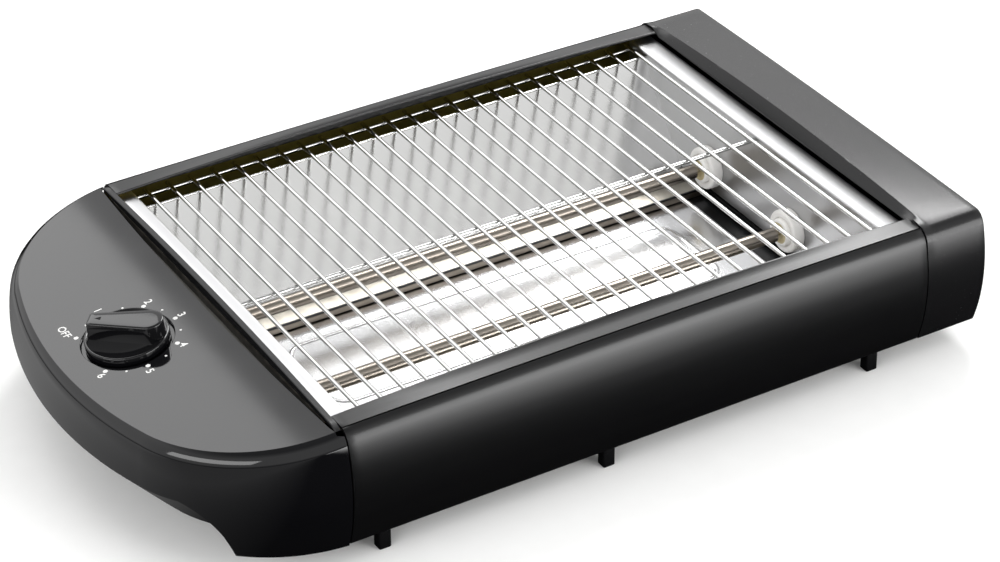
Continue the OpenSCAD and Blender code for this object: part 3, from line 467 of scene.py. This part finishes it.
# Inside, the sheet has a thin olive stove lacquer through which the bare steel still shines.
lacquer, tree = new_finish("olive_stove_lacquer")
place = add(tree, "TexCoord").outputs["Object"]
runs = add(tree, "TexNoise", Vector=place, Scale=1 / (18 * mm), Detail=3.0)
tone = add(tree, "ValToRGB", Fac=runs.outputs["Fac"])
tone.color_ramp.elements[0].color = srgb("8a7e3c")
tone.color_ramp.elements[1].color = srgb("c0b05a")
haze = add(tree, "MapRange", Value=runs.outputs["Fac"], To_Min=0.25, To_Max=0.4)
shader = add(tree, "BsdfPrincipled", Base_Color=tone.outputs["Color"], Roughness=haze.outputs[0],
             Metallic=0.7)
add(tree, "OutputMaterial", Surface=shader.outputs["BSDF"])

half_wide = 105.0
panel_from, panel_to, panel_steps = seam_gap, 273.7, 72
panel_sheet = 1.2
flange_in, flange_flat, flange_mid = 95.6, 0.4, -4.0
lip_foot, lip_bend, lip_least = -0.2, 0.5, 0.4
groove_from, groove_to, groove_deep, groove_fall = -0.55, 0.15, 0.9, 0.42
foot_in, foot_level, foot_turn = 89.0, -53.5, 1.3
# How far in from the side's lower end and how far above the foot each step of the toe's rounding is.
toe_round = [(0.5, 0.35), (1.4, 0)]
inner_crown, crease_crown, crown_fade = 3.2, 0.75, 20.0
turn_centre, turn_r = (-3.07, -7.39), 8.0
bulge_centre, bulge_r = (-72.36, -27.0), 80.0


def arc(centre, radius, start, end, steps):
    turns = [start + (end - start) * i / steps for i in range(steps + 1)]
    return [(centre[0] + radius * cos(t), centre[1] + radius * sin(t)) for t in turns]


def side_line(foot, turn_steps=8, bulge_steps=18):
    """How far the side stands out from the crease, and at what level, from the crease down to a foot."""
    crease = atan2(-turn_centre[1], -turn_centre[0])
    meet = atan2(turn_centre[1] - bulge_centre[1], turn_centre[0] - bulge_centre[0])
    low = asin((foot - bulge_centre[1]) / bulge_r)
    turn = arc(turn_centre, turn_r, crease, meet, turn_steps)
    return turn + arc(bulge_centre, bulge_r, meet, low, bulge_steps)[1:]


side = side_line(foot_level + foot_turn)
for name, way in (("front_panel", -1), ("back_panel", 1)):
    rows = []
    for i in range(panel_steps + 1):
        x = panel_from + (panel_to - panel_from) * i / panel_steps
        crown = 1 - (2 * (x - panel_from) / (panel_to - panel_from) - 1) ** 2
        inner = inner_crown * crown
        crease = crease_crown * crown
        fall = (crease - inner) / (half_wide - flange_in)
        line = [(flange_in, min(lip_foot, inner - lip_bend - lip_least)), (flange_in, inner - lip_bend)]
        line += [(flange_in + lip_bend * (1 - cos(radians(t))), inner - lip_bend * (1 - sin(radians(t))))
                 for t in (30, 60, 90)]
        line += [(half_wide + d, crease + d * fall)
                 for d in (flange_in + lip_bend + flange_flat - half_wide, flange_mid, groove_from)]
        line += [(half_wide + d, crease - groove_deep) for d in (groove_from, groove_to)]
        line += [(half_wide + groove_to, crease - groove_to * groove_fall)]
        line += [(half_wide + d, z + crease * max(0, 1 + z / crown_fade)) for d, z in side[1:]]
        toe = line[-1][0]
        line += [(toe - d, foot_level + z) for d, z in toe_round] + [(foot_in, foot_level)]
        rows.append([at(x, way * y, z) for y, z in line])
    panel = new_piece("enamelled_" + name, *net(rows, flip=way > 0), enamel, lacquer, sharp=45)
    fold(panel, panel_sheet, rounding=0.1)
    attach(panel, "body")
    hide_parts(name)

# Feet: six pegs moulded in black ABS, clipped through the foot flange of the panels. Each has a neck
# under its shoulder and a broken edge at the toe.
# Textured ABS is a soft black with a fine spark-eroded grain, drawn at twice its size to show.
satin, tree = new_finish("spark_textured_abs")
place = add(tree, "TexCoord").outputs["Object"]
grain = add(tree, "TexNoise", Vector=place, Scale=1 / (0.9 * mm), Detail=2.0)
cloud = add(tree, "TexNoise", Vector=place, Scale=1 / (30 * mm), Detail=2.0)
tone = add(tree, "ValToRGB", Fac=cloud.outputs["Fac"])
tone.color_ramp.elements[0].color = srgb("0d0d0e")
tone.color_ramp.elements[1].color = srgb("141415")
haze = add(tree, "MapRange", Value=grain.outputs["Fac"], To_Min=0.2, To_Max=0.3)
pits = add(tree, "Bump", Height=grain.outputs["Fac"], Strength=0.12, Distance=0.05 * mm)
shader = add(tree, "BsdfPrincipled", Base_Color=tone.outputs["Color"], Roughness=haze.outputs[0], IOR=1.4,
             Normal=pits.outputs[0])
add(tree, "OutputMaterial", Surface=shader.outputs["BSDF"])
dress(satin, "housing_cover", "timer_case", "cord_gland", "tray_pull")

foot_x, foot_y = (17.2, 121.3, 253.2), 102.5
foot_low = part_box("feet")[0].z
foot_top = 11.2
peg_corner = 0.7
# Level over the table, half length and half width of each ring of the peg.
peg = [(0, 2.1, 1.9), (0.15, 2.5, 2.25), (0.5, 2.75, 2.5), (8.6, 2.75, 2.5), (9.0, 2.6, 2.4),
       (9.2, 2.3, 2.1), (foot_top, 2.3, 2.1)]


def rounded_ring(half_x, half_y, corner, steps=5):
    """Points of a rectangle with round corners, counterclockwise."""
    ring = []
    for quarter, (sx, sy) in enumerate(((1, 1), (-1, 1), (-1, -1), (1, -1))):
        for i in range(steps + 1):
            t = (quarter + i / steps) * pi / 2
            ring.append((sx * (half_x - corner) + corner * cos(t),
                         sy * (half_y - corner) + corner * sin(t)))
    return ring


points, faces = [], []
for x in foot_x:
    for y in (-foot_y, foot_y):
        middle = at(x, y, 0)
        rows = [[Vector((middle.x + px * mm, middle.y + py * mm, foot_low + z * mm))
                 for px, py in rounded_ring(hx, hy, peg_corner)] for z, hx, hy in peg]
        gather(points, faces, capped(rows))
feet = new_piece("moulded_feet", points, faces, satin, sharp=50)
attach(feet, "body")
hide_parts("feet")

# End cap: one ABS moulding over the square end, screwed to the panels' feet. A sloped step rises from the
# chamber to its crowned top, a low rim stands at the seam, and the tray's slot is cut in its end wall.
cap_from, cap_to = 274.3, 304.45
cap_wall = 2.4
step_run, step_foot, step_edge = 3.2, -2.0, 0.3
step_crown, end_crown = 3.5, 0.95
rim_proud, rim_run, rim_drop = 0.6, 4.0, 12.0
cap_round = 1.1
top_from, top_edge = 5.0, 0.5
slot_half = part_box("tray_pull")[1].y / mm + 0.8
slot_top = -47.0


def cap_level(x, y):
    """Level of the cap's top: crowned most at the step, least at the end wall."""
    share = min(1, max(0, (x - cap_from - step_run) / (cap_to - cap_from - step_run)))
    crown = step_crown + (end_crown - step_crown) * share
    edge = step_edge * (1 - share) if abs(y) < flange_in else 0
    return crown * max(0, 1 - (y / half_wide) ** 2) + edge


cap_side = side_line(foot_level, 8, 14)
# Place along the cap, how far the skin is drawn in there, and the share of the step's rise.
stations = [(cap_from, 0, 0), (cap_from + 0.25, 0, 0.12), (cap_from + step_run - 0.35, 0, 0.9),
            (cap_from + step_run, 0, 1.0), (cap_from + step_run + 0.5, 0, 1.0)]
top_run = cap_to - cap_round - cap_from - top_from
stations += [(cap_from + top_from + top_run * i / 10, 0, 1.0) for i in range(11)]
stations += [(cap_to - cap_round + cap_round * sin(radians(t)), cap_round * (1 - cos(radians(t))), 1.0)
             for t in (22.5, 45, 67.5, 90)]
across = [-half_wide + top_edge + 2 * (half_wide - top_edge) * i / 40 for i in range(41)]
rows = []
for x, inset, rise in stations:
    proud = rim_proud * max(0, 1 - (x - cap_from) / rim_run)
    line = [(-half_wide - d, z) for d, z in cap_side[:0:-1]]
    line += [(y, cap_level(x, y)) for y in across]
    line += [(half_wide + d, z) for d, z in cap_side[1:]]
    shaped = []
    for i, (y, z) in enumerate(line):
        before, after = line[max(0, i - 1)], line[min(len(line) - 1, i + 1)]
        run, lift = after[0] - before[0], after[1] - before[1]
        long = sqrt(run * run + lift * lift)
        out = proud * min(1, max(0, 1 + z / rim_drop)) - inset
        ny, nz = -lift / long, run / long
        if abs(y) < flange_in and rise < 1:
            shaped.append((y, step_foot + (z - step_foot) * rise))
        elif abs(y) < flange_in:
            shaped.append((y, z - inset))
        else:
            shaped.append((y + out * ny, z + out * nz))
    rows.append([at(x, y, z) for y, z in shaped])
points, faces = net(rows, flip=True)
wide = len(rows[0])
last = list(range(len(points) - wide, len(points)))
slot = [(slot_half, foot_level), (slot_half, slot_top), (-slot_half, slot_top), (-slot_half, foot_level)]
points += [at(cap_to, y, z) for y, z in slot]
faces.append(tuple(last + list(range(len(points) - 4, len(points))))[::-1])
cap = new_piece("moulded_end_cap", points, faces, satin, sharp=38)
fold(cap, cap_wall, rounding=0.2)
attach(cap, "body")
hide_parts("end_cap")

# Seam trim: a moulded ABS bar in the seam beside the control housing, sprung over the heat shield's edge.
# Its top crowns with the panels and it turns down at the panels' creases.
trim_in, trim_out = -2.6, 0.0
trim_low, trim_lip = -1.2, -3.0
trim_lip_x = -1.4
trim_half, trim_lip_half = 104.7, flange_in - 0.4
trim_flat, trim_crown, crown_half = 0.35, 2.55, 100.0
trim_end, trim_end_fall = 103.2, 0.9
trim_round = 0.3
rows = []
for i in range(61):
    y = -trim_half + 2 * trim_half * i / 60
    top = trim_flat + trim_crown * max(0, 1 - (y / crown_half) ** 2)
    top -= trim_end_fall * max(0, abs(y) - trim_end)
    foot = trim_lip if abs(y) < trim_lip_half else trim_low
    line = [(trim_in, trim_low), (trim_in, top - trim_round), (trim_in + trim_round, top),
            (trim_out - trim_round, top), (trim_out, top - trim_round), (trim_out, foot),
            (trim_lip_x, foot), (trim_lip_x, trim_low)]
    rows.append([at(x, y, z) for x, z in line])
trim = new_piece("moulded_seam_trim", *capped(rows), satin, sharp=30)
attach(trim, "body")
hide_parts("seam_trim")

# Control housing: a D-shaped shell injection-moulded in gloss ABS, with a sloped top, a dished seat for
# the knob and a finger arch under its tip. It hooks on the chamber frame and is screwed from below.
# Polished-mould ABS is a deep black mirror with the long faint waves of moulded sheet.
gloss, tree = new_finish("gloss_black_abs")
place = add(tree, "TexCoord").outputs["Object"]
flow = add(tree, "TexNoise", Vector=place, Scale=1 / (24 * mm), Detail=2.0)
tone = add(tree, "ValToRGB", Fac=flow.outputs["Fac"])
tone.color_ramp.elements[0].color = srgb("08080a")
tone.color_ramp.elements[1].color = srgb("0c0c0e")
haze = add(tree, "MapRange", Value=flow.outputs["Fac"], To_Min=0.05, To_Max=0.08)
shader = add(tree, "BsdfPrincipled", Base_Color=tone.outputs["Color"], Roughness=haze.outputs[0], IOR=1.45)
add(tree, "OutputMaterial", Surface=shader.outputs["BSDF"])

turning = [joint for joint in frame["joints"] if joint["name"] == "timer_turn"][0]
dial_place = Vector(turning["pos_m"])
top_normal = -Vector(turning["axis"]).normalized()
top_along = Vector((top_normal.z, 0, -top_normal.x))
slope = asin(-top_normal.x)
dial_x = -40.5
corner_centre, corner_r = (0.556, 40.0), 65.0
tip_centre, tip_r = (129.55, 0.0), 200.0
tip_half = asin(corner_centre[1] / (tip_r - corner_r))
housing_seam = -0.3
trim_seam = -2.9
arch_top, arch_floor, arch_in, arch_reach = -21.0, -47.5, 18.0, 8.0
arch_turn, arch_end_r = radians(26), 27.0
wall_t = 2.4
dish_r, dish_deep, dish_hole = 19.1, 1.6, 5.6
turn_foot = -5.2
trim_foot = -1.3
table_gap = 0.5
arch_lip, arch_least, arch_mid, arch_edge = 0.6, 0.4, -30.0, 0.05
return_in, return_up = 0.2, 1.2
# The top's edge beside the seam bows away from it in the middle, with a groove between the two.
bow_mid, bow_rise, bow_half, bow_gap = -6.3, 2.0, 85.0, 0.1
groove_floor, groove_far = -4.6, -2.7


def on_top(x, y, z):
    """A point in millimetres along the sloped top from the seam, across it and above it."""
    return dial_place + ((x - dial_x) * top_along + z * top_normal + Vector((0, y, 0))) * mm


def stand_out(z):
    """How far the side stands out from the crease at a level."""
    if z > turn_foot:
        return turn_centre[0] + sqrt(turn_r ** 2 - (z - turn_centre[1]) ** 2)
    return bulge_centre[0] + sqrt(bulge_r ** 2 - (z - bulge_centre[1]) ** 2)


def rim_point(turn, out):
    """Point of the D-shaped outline at a turn about the housing, moved outwards."""
    if abs(turn - pi) <= tip_half:
        centre, radius = tip_centre, tip_r
    else:
        side_y = corner_centre[1] if turn < pi else -corner_centre[1]
        centre, radius = (corner_centre[0], side_y), corner_r
    return centre[0] + (radius + out) * cos(turn), centre[1] + (radius + out) * sin(turn)


def start_turn(z, seam):
    """Turn at which the outline at this level meets the seam."""
    reach = (seam + z * sin(slope)) / cos(slope) - corner_centre[0]
    return pi / 2 + asin(-reach / (corner_r + stand_out(z)))


def turn_at(share, z, seam):
    """Turn at a share of the way round, the same share of corner and tip at every level."""
    first = start_turn(z, seam)
    near, far = 0.31, 0.69
    if share < near:
        return first + (pi - tip_half - first) * share / near
    if share > far:
        return 2 * pi - first - (pi - tip_half - first) * (1 - share) / near
    return pi - tip_half + 2 * tip_half * (share - near) / (far - near)


def arch_slope(z):
    """How far out of the outline the finger arch's wall is at a level."""
    return arch_reach - arch_in * (arch_top - z) / (arch_top - arch_floor)


def lowest(turn):
    """Level of the housing's lower edge, on the table side or on the finger arch, and which it is."""
    z = foot_level
    for _ in range(4):
        x = rim_point(turn, stand_out(max(z, foot_level)))[0]
        z = (foot_level + table_gap - x * sin(slope)) / cos(slope)
    off = abs(turn - pi) - arch_turn
    away = 0 if off < 0 else (corner_r + stand_out(arch_mid)) * sin(off)
    if away < arch_end_r:
        edge = min(arch_top - arch_lip, arch_floor + sqrt(arch_end_r ** 2 - away ** 2))
        if edge > z + arch_least:
            return edge, z, True
    return z, z, False


# Levels of the rows down to above the arch, then shares of the way from there to the lower edge.
levels = [0, -0.35, -0.9, -1.7, -2.8, -4.0, -5.4, -7.5, -10, -13, -16, -18.5]
parts = [0.1, 0.2, 0.32, 0.45, 0.58, 0.7, 0.82, 0.92, 1.0]
shares = [i / 180 for i in range(181)]
rows = []
for z in levels:
    seam = trim_seam if z > trim_foot else housing_seam
    row = []
    for share in shares:
        turn = turn_at(share, z, seam)
        x, y = rim_point(turn, stand_out(z) if z < 0 else 0)
        row.append(on_top(x, y, z))
    rows.append(row)
for part in parts:
    row = []
    for share in shares:
        low = lowest(turn_at(share, levels[-1], housing_seam))[0]
        z = levels[-1] + (low - levels[-1]) * part
        turn = turn_at(share, z, housing_seam)
        x, y = rim_point(turn, stand_out(z))
        row.append(on_top(x, y, z))
    rows.append(row)
inward, inside = [], []
for share in shares:
    turn = turn_at(share, levels[-1], housing_seam)
    low, floor_z, arched = lowest(turn)
    turn = turn_at(share, low, housing_seam)
    if arched:
        x, y = rim_point(turn, min(arch_slope(low), stand_out(low) - arch_edge))
        inward.append(on_top(x, y, low))
        end = floor_z + arch_lip
        x, y = rim_point(turn, arch_slope(end))
        inside.append(on_top(x, y, end))
    else:
        x, y = rim_point(turn, stand_out(low) - wall_t)
        inward.append(on_top(x, y, low))
        x, y = rim_point(turn, stand_out(low) - wall_t - return_in)
        inside.append(on_top(x, y, low + return_up))
rows += [inward, inside]
points, faces = net(rows, flip=True)
crease = list(range(len(shares)))
# The top runs from the crease and the bowed edge beside the seam to the dish.
bowed = []
for i in range(1, 60):
    y = -half_wide + 2 * half_wide * i / 60
    bowed.append((min(trim_seam - bow_gap, bow_mid + bow_rise * (y / bow_half) ** 2), y))
rim_ids = crease + list(range(len(points), len(points) + len(bowed)))
points += [on_top(x, y, 0) for x, y in bowed]
loop = []
for i in rim_ids:
    out = points[i] - dial_place
    loop.append(atan2(out.y, out.dot(top_along)))
# Radius and height of the dish, from its rim to the hole for the timer's bushing.
dish = [(dish_r + 0.15, 0), (dish_r, -0.12), (dish_r - 0.05, -dish_deep + 0.3),
        (dish_r - 0.35, -dish_deep), (dish_hole, -dish_deep)]
first = rim_ids
for radius, z in dish:
    start = len(points)
    points += [on_top(dial_x + radius * cos(t), radius * sin(t), z) for t in loop]
    ids = list(range(start, start + len(loop)))
    for k in range(len(loop)):
        n = (k + 1) % len(loop)
        faces.append((first[k], first[n], ids[n], ids[k]))
    first = ids
# The wall under the bowed edge and the floor of the groove in front of the heat shield.
edge_ids = rim_ids[len(crease):]
start = len(points)
points += [on_top(x, y, groove_floor) for x, y in bowed]
points += [on_top(groove_far, y, groove_floor) for x, y in bowed]
for k in range(len(bowed) - 1):
    faces.append((edge_ids[k], start + k, start + k + 1, edge_ids[k + 1]))
    faces.append((start + k, start + len(bowed) + k, start + len(bowed) + k + 1, start + k + 1))
housing = new_piece("moulded_control_housing", points, faces, gloss, sharp=16)
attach(housing, "body")
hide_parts("control_housing")

# Timer knob: gloss ABS moulded in one, a thin skirt with a tapered grip whose narrow end points at the
# dial, pushed on the timer's spindle. A small matt arrow is etched in the pointing end.
grip_tail, grip_tail_r, grip_tip, grip_tip_half, grip_blunt = -10.2, 6.3, 14.8, 4.0, 1.1
pointing = radians(140)
# Radius and height of the skirt above the housing top.
skirt = [(0.01, -0.9), (16.9, -0.9), (17.3, -0.6), (17.3, 2.3), (17.2, 2.6), (16.95, 2.85), (16.6, 2.95),
         (16.25, 2.9), (16.0, 2.75), (9.0, 2.4), (0.01, 2.4)]
turned = Matrix.Rotation(pointing, 3, "Z")


def on_knob(x, y, z):
    """A point in millimetres from the knob's axis, with x towards the tip of the grip."""
    spot = turned @ Vector((x, y, z))
    return on_top(dial_x + spot.x, spot.y, spot.z)


turns = [2 * pi * k / 96 for k in range(96)]
rows = [[on_knob(r * cos(t), r * sin(t), z) for t in turns] for r, z in skirt]
points, faces = capped(rows)
lean = asin((grip_tail_r - grip_tip_half) / (grip_tip - grip_tail))


def grip_ring(inset):
    """Outline of the grip seen from above, drawn in by an inset, with a round tail and a blunt tip."""
    tail = grip_tail_r - inset
    ring = [(grip_tail + tail * cos(t), tail * sin(t))
            for t in [pi / 2 - lean + (pi + 2 * lean) * i / 24 for i in range(25)]]
    across = grip_tip_half - inset - grip_blunt
    along = grip_tip - inset - grip_blunt
    for sign in (-1, 1):
        corner = [(along + grip_blunt * sin(t), sign * (across + grip_blunt * cos(t)))
                  for t in [i / 5 * pi / 2 for i in range(6)]]
        ring += corner if sign < 0 else corner[::-1]
    return ring


# Height and inset of each ring of the grip: flanks with a little draft, a tight edge and a crowned top.
grip = [(2.0, -0.35), (2.7, -0.3), (6.0, -0.1), (9.3, 0.05), (9.65, 0.12), (9.88, 0.32), (10.0, 0.6),
        (10.07, 1.2), (10.1, 2.6)]
rows = [[on_knob(x, y, z) for x, y in grip_ring(inset)] for z, inset in grip]
gather(points, faces, capped(rows))
knob = new_piece("moulded_timer_knob", points, faces, gloss, sharp=40)
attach(knob, "knob")
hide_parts("timer_knob")

# Etched ABS is dull and grainy, so it stays dark where the polish round it shines.
etched, tree = new_finish("etched_black_abs")
place = add(tree, "TexCoord").outputs["Object"]
grain = add(tree, "TexNoise", Vector=place, Scale=1 / (0.4 * mm), Detail=2.0)
haze = add(tree, "MapRange", Value=grain.outputs["Fac"], To_Min=0.6, To_Max=0.75)
shader = add(tree, "BsdfPrincipled", Base_Color=srgb("0b0b0c"), Roughness=haze.outputs[0],
             Specular_IOR_Level=0.15)
add(tree, "OutputMaterial", Surface=shader.outputs["BSDF"])
arrow = [(11.9, 0), (9.3, 1.1), (9.3, -1.1)]
arrow_half_t = 0.02
grip_top = grip[-1][0]
rows = [[on_knob(x, y, z) for x, y in arrow] for z in (grip_top - arrow_half_t, grip_top + arrow_half_t)]
pointer = new_piece("knob_arrow", *capped(rows), etched)
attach(pointer, "knob")

# Printed marks: white pad-print on the sloped top round the dial, a film of ink a few hundredths of a
# millimetre thick. The ink is matt, with a trace of mottle.
ink, tree = new_finish("white_pad_print")
place = add(tree, "TexCoord").outputs["Object"]
mottle = add(tree, "TexNoise", Vector=place, Scale=1 / (0.8 * mm), Detail=2.0)
tone = add(tree, "ValToRGB", Fac=mottle.outputs["Fac"])
tone.color_ramp.elements[0].color = srgb("cfcfcd")
tone.color_ramp.elements[1].color = srgb("e4e4e2")
shader = add(tree, "BsdfPrincipled", Base_Color=tone.outputs["Color"], Roughness=0.55)
add(tree, "OutputMaterial", Surface=shader.outputs["BSDF"])

ink_t = 0.04
dot_ring, dot_count = 21.4, 13
dot_r, small_dot_r = 1.0, 0.5
first_mark, mark_step = 140.0, 140 / 3
turns = [2 * pi * i / 24 for i in range(24)]
points, faces = [], []
for k in range(dot_count):
    turn = radians(first_mark - mark_step * k / 2)
    size = small_dot_r if k % 2 else dot_r
    spot = (dial_x + dot_ring * cos(turn), dot_ring * sin(turn))
    rows = [[on_top(spot[0] + size * cos(t), spot[1] + size * sin(t), z) for t in turns]
            for z in (0, ink_t)]
    gather(points, faces, capped(rows))
dots = new_piece("dial_dots", points, faces, ink, sharp=40)
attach(dots, "body")

letter_high, stroke_grow = 4.7, 0.08
# Each mark's middle along the sloped top and across it.
marks = [("1", -42.0, 25.2), ("2", -23.0, 17.2), ("3", -16.0, 0.7), ("4", -24.4, -17.9),
         ("5", -42.7, -24.9), ("6", -59.5, -15.3), ("OFF", -59.2, 20.4)]
for word, x, y in marks:
    text = bpy.data.curves.new("mark_" + word, "FONT")
    text.body = word
    text.size = letter_high * mm
    text.align_x = "CENTER"
    text.align_y = "CENTER"
    text.extrude = ink_t / 2 * mm
    text.offset = stroke_grow * mm
    lettering = bpy.data.objects.new("mark_" + word, text)
    bpy.context.scene.collection.objects.link(lettering)
    drawn_text = lettering.evaluated_get(bpy.context.evaluated_depsgraph_get())
    mesh = bpy.data.meshes.new_from_object(drawn_text)
    bpy.data.objects.remove(lettering)
    turn = Matrix((Vector((0, -1, 0)), top_along, top_normal)).transposed().to_4x4()
    mesh.transform(Matrix.Translation(on_top(x, y, ink_t / 2)) @ turn)
    mesh.materials.clear()
    mesh.materials.append(ink)
    printed = bpy.data.objects.new("dial_mark_" + word, mesh)
    bpy.context.scene.collection.objects.link(printed)
    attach(printed, "body")

# Crumb tray: bright aluminium sheet with turned-up edges, slid in under the chamber, and a stiffening
# bead pressed round its floor. The sheet is rolled to a soft mirror, with faint lines along it.
mirror, tree = new_finish("bright_rolled_aluminium")
place = add(tree, "TexCoord").outputs["Object"]
rolled = add(tree, "Mapping", Vector=place, Scale=(1 / (120 * mm), 1 / (1.5 * mm), 1 / (1.5 * mm)))
lines = add(tree, "TexNoise", Vector=rolled.outputs[0], Scale=1.0, Detail=3.0)
haze = add(tree, "MapRange", Value=lines.outputs["Fac"], To_Min=0.2, To_Max=0.24)
shader = add(tree, "BsdfPrincipled", Base_Color=srgb("ececed"), Roughness=haze.outputs[0], Metallic=1.0)
add(tree, "OutputMaterial", Surface=shader.outputs["BSDF"])
dress(mirror, "crumb_tray")

tray_floor = -53.0
bead_from, bead_to, bead_half, bead_corner = 40.0, 233.0, 24.0, 9.0
bead_wide, bead_high = 1.1, 0.4
middle_x, half_long = (bead_from + bead_to) / 2, (bead_to - bead_from) / 2
rows = []
for px, py in rounded_ring(half_long, bead_half, bead_corner, steps=8):
    cx = max(bead_corner - half_long, min(half_long - bead_corner, px))
    cy = max(bead_corner - bead_half, min(bead_half - bead_corner, py))
    out = Vector((px - cx, py - cy, 0)).normalized()
    rows.append([at(middle_x + px + out.x * bead_wide * s, py + out.y * bead_wide * s,
                    tray_floor + bead_high * (1 - s * s))
                 for s in [k / 4 for k in range(-4, 5)]])
rows.append(rows[0])
bead = new_piece("tray_bead", *net(rows, closed=True), mirror, sharp=60)
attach(bead, "tray")

# The pull's web reaches a little way over the tray and has a rib that closes the gap under the end plate.
# Both are black, a painted shade: the dark band beside the end plate where the slot lies in shadow.
rib_from, rib_t, rib_half, rib_top = right_wall + 0.5, 1.5, 58.0, -50.1
shade_web_from, shade_web_t, shade_web_edge = right_wall - 9.0, 0.3, 0.2
line = [(shade_web_from, tray_floor), (shade_web_from + shade_web_edge, tray_floor + shade_web_t), (rib_from, tray_floor + shade_web_t),
        (rib_from, rib_top), (rib_from + rib_t, rib_top), (rib_from + rib_t, tray_floor)]
rows = [[at(x, -rib_half + 2 * rib_half * i / 8, z) for x, z in line] for i in range(9)]
rib = new_piece("tray_pull_shade_rib", *capped(rows), satin)
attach(rib, "tray")

# Timer contacts, terminal screws and bushing: brass, stamped or turned, held in the timer and its block.
# Handled brass is a dull yellow, hazier in some places than in others.
brass, tree = new_finish("stamped_brass")
place = add(tree, "TexCoord").outputs["Object"]
cloud = add(tree, "TexNoise", Vector=place, Scale=1 / (4 * mm), Detail=2.0)
haze = add(tree, "MapRange", Value=cloud.outputs["Fac"], To_Min=0.25, To_Max=0.4)
shader = add(tree, "BsdfPrincipled", Base_Color=srgb("d9b65c"), Roughness=haze.outputs[0], Metallic=1.0)
add(tree, "OutputMaterial", Surface=shader.outputs["BSDF"])
dress(brass, "timer_blades", "terminal_screws", "timer_bushing")

# Inner leads: stranded wire in silicone sleeving, pushed over the blades and crimped on the heater pins.
# Silicone is a dull, slightly dusty cream.
sleeve, tree = new_finish("silicone_sleeve")
place = add(tree, "TexCoord").outputs["Object"]
cloud = add(tree, "TexNoise", Vector=place, Scale=1 / (3 * mm), Detail=2.0)
haze = add(tree, "MapRange", Value=cloud.outputs["Fac"], To_Min=0.55, To_Max=0.7)
shader = add(tree, "BsdfPrincipled", Base_Color=srgb("d8d2c4"), Roughness=haze.outputs[0])
add(tree, "OutputMaterial", Surface=shader.outputs["BSDF"])
dress(sleeve, "lead_live", "lead_heater", "lead_return")
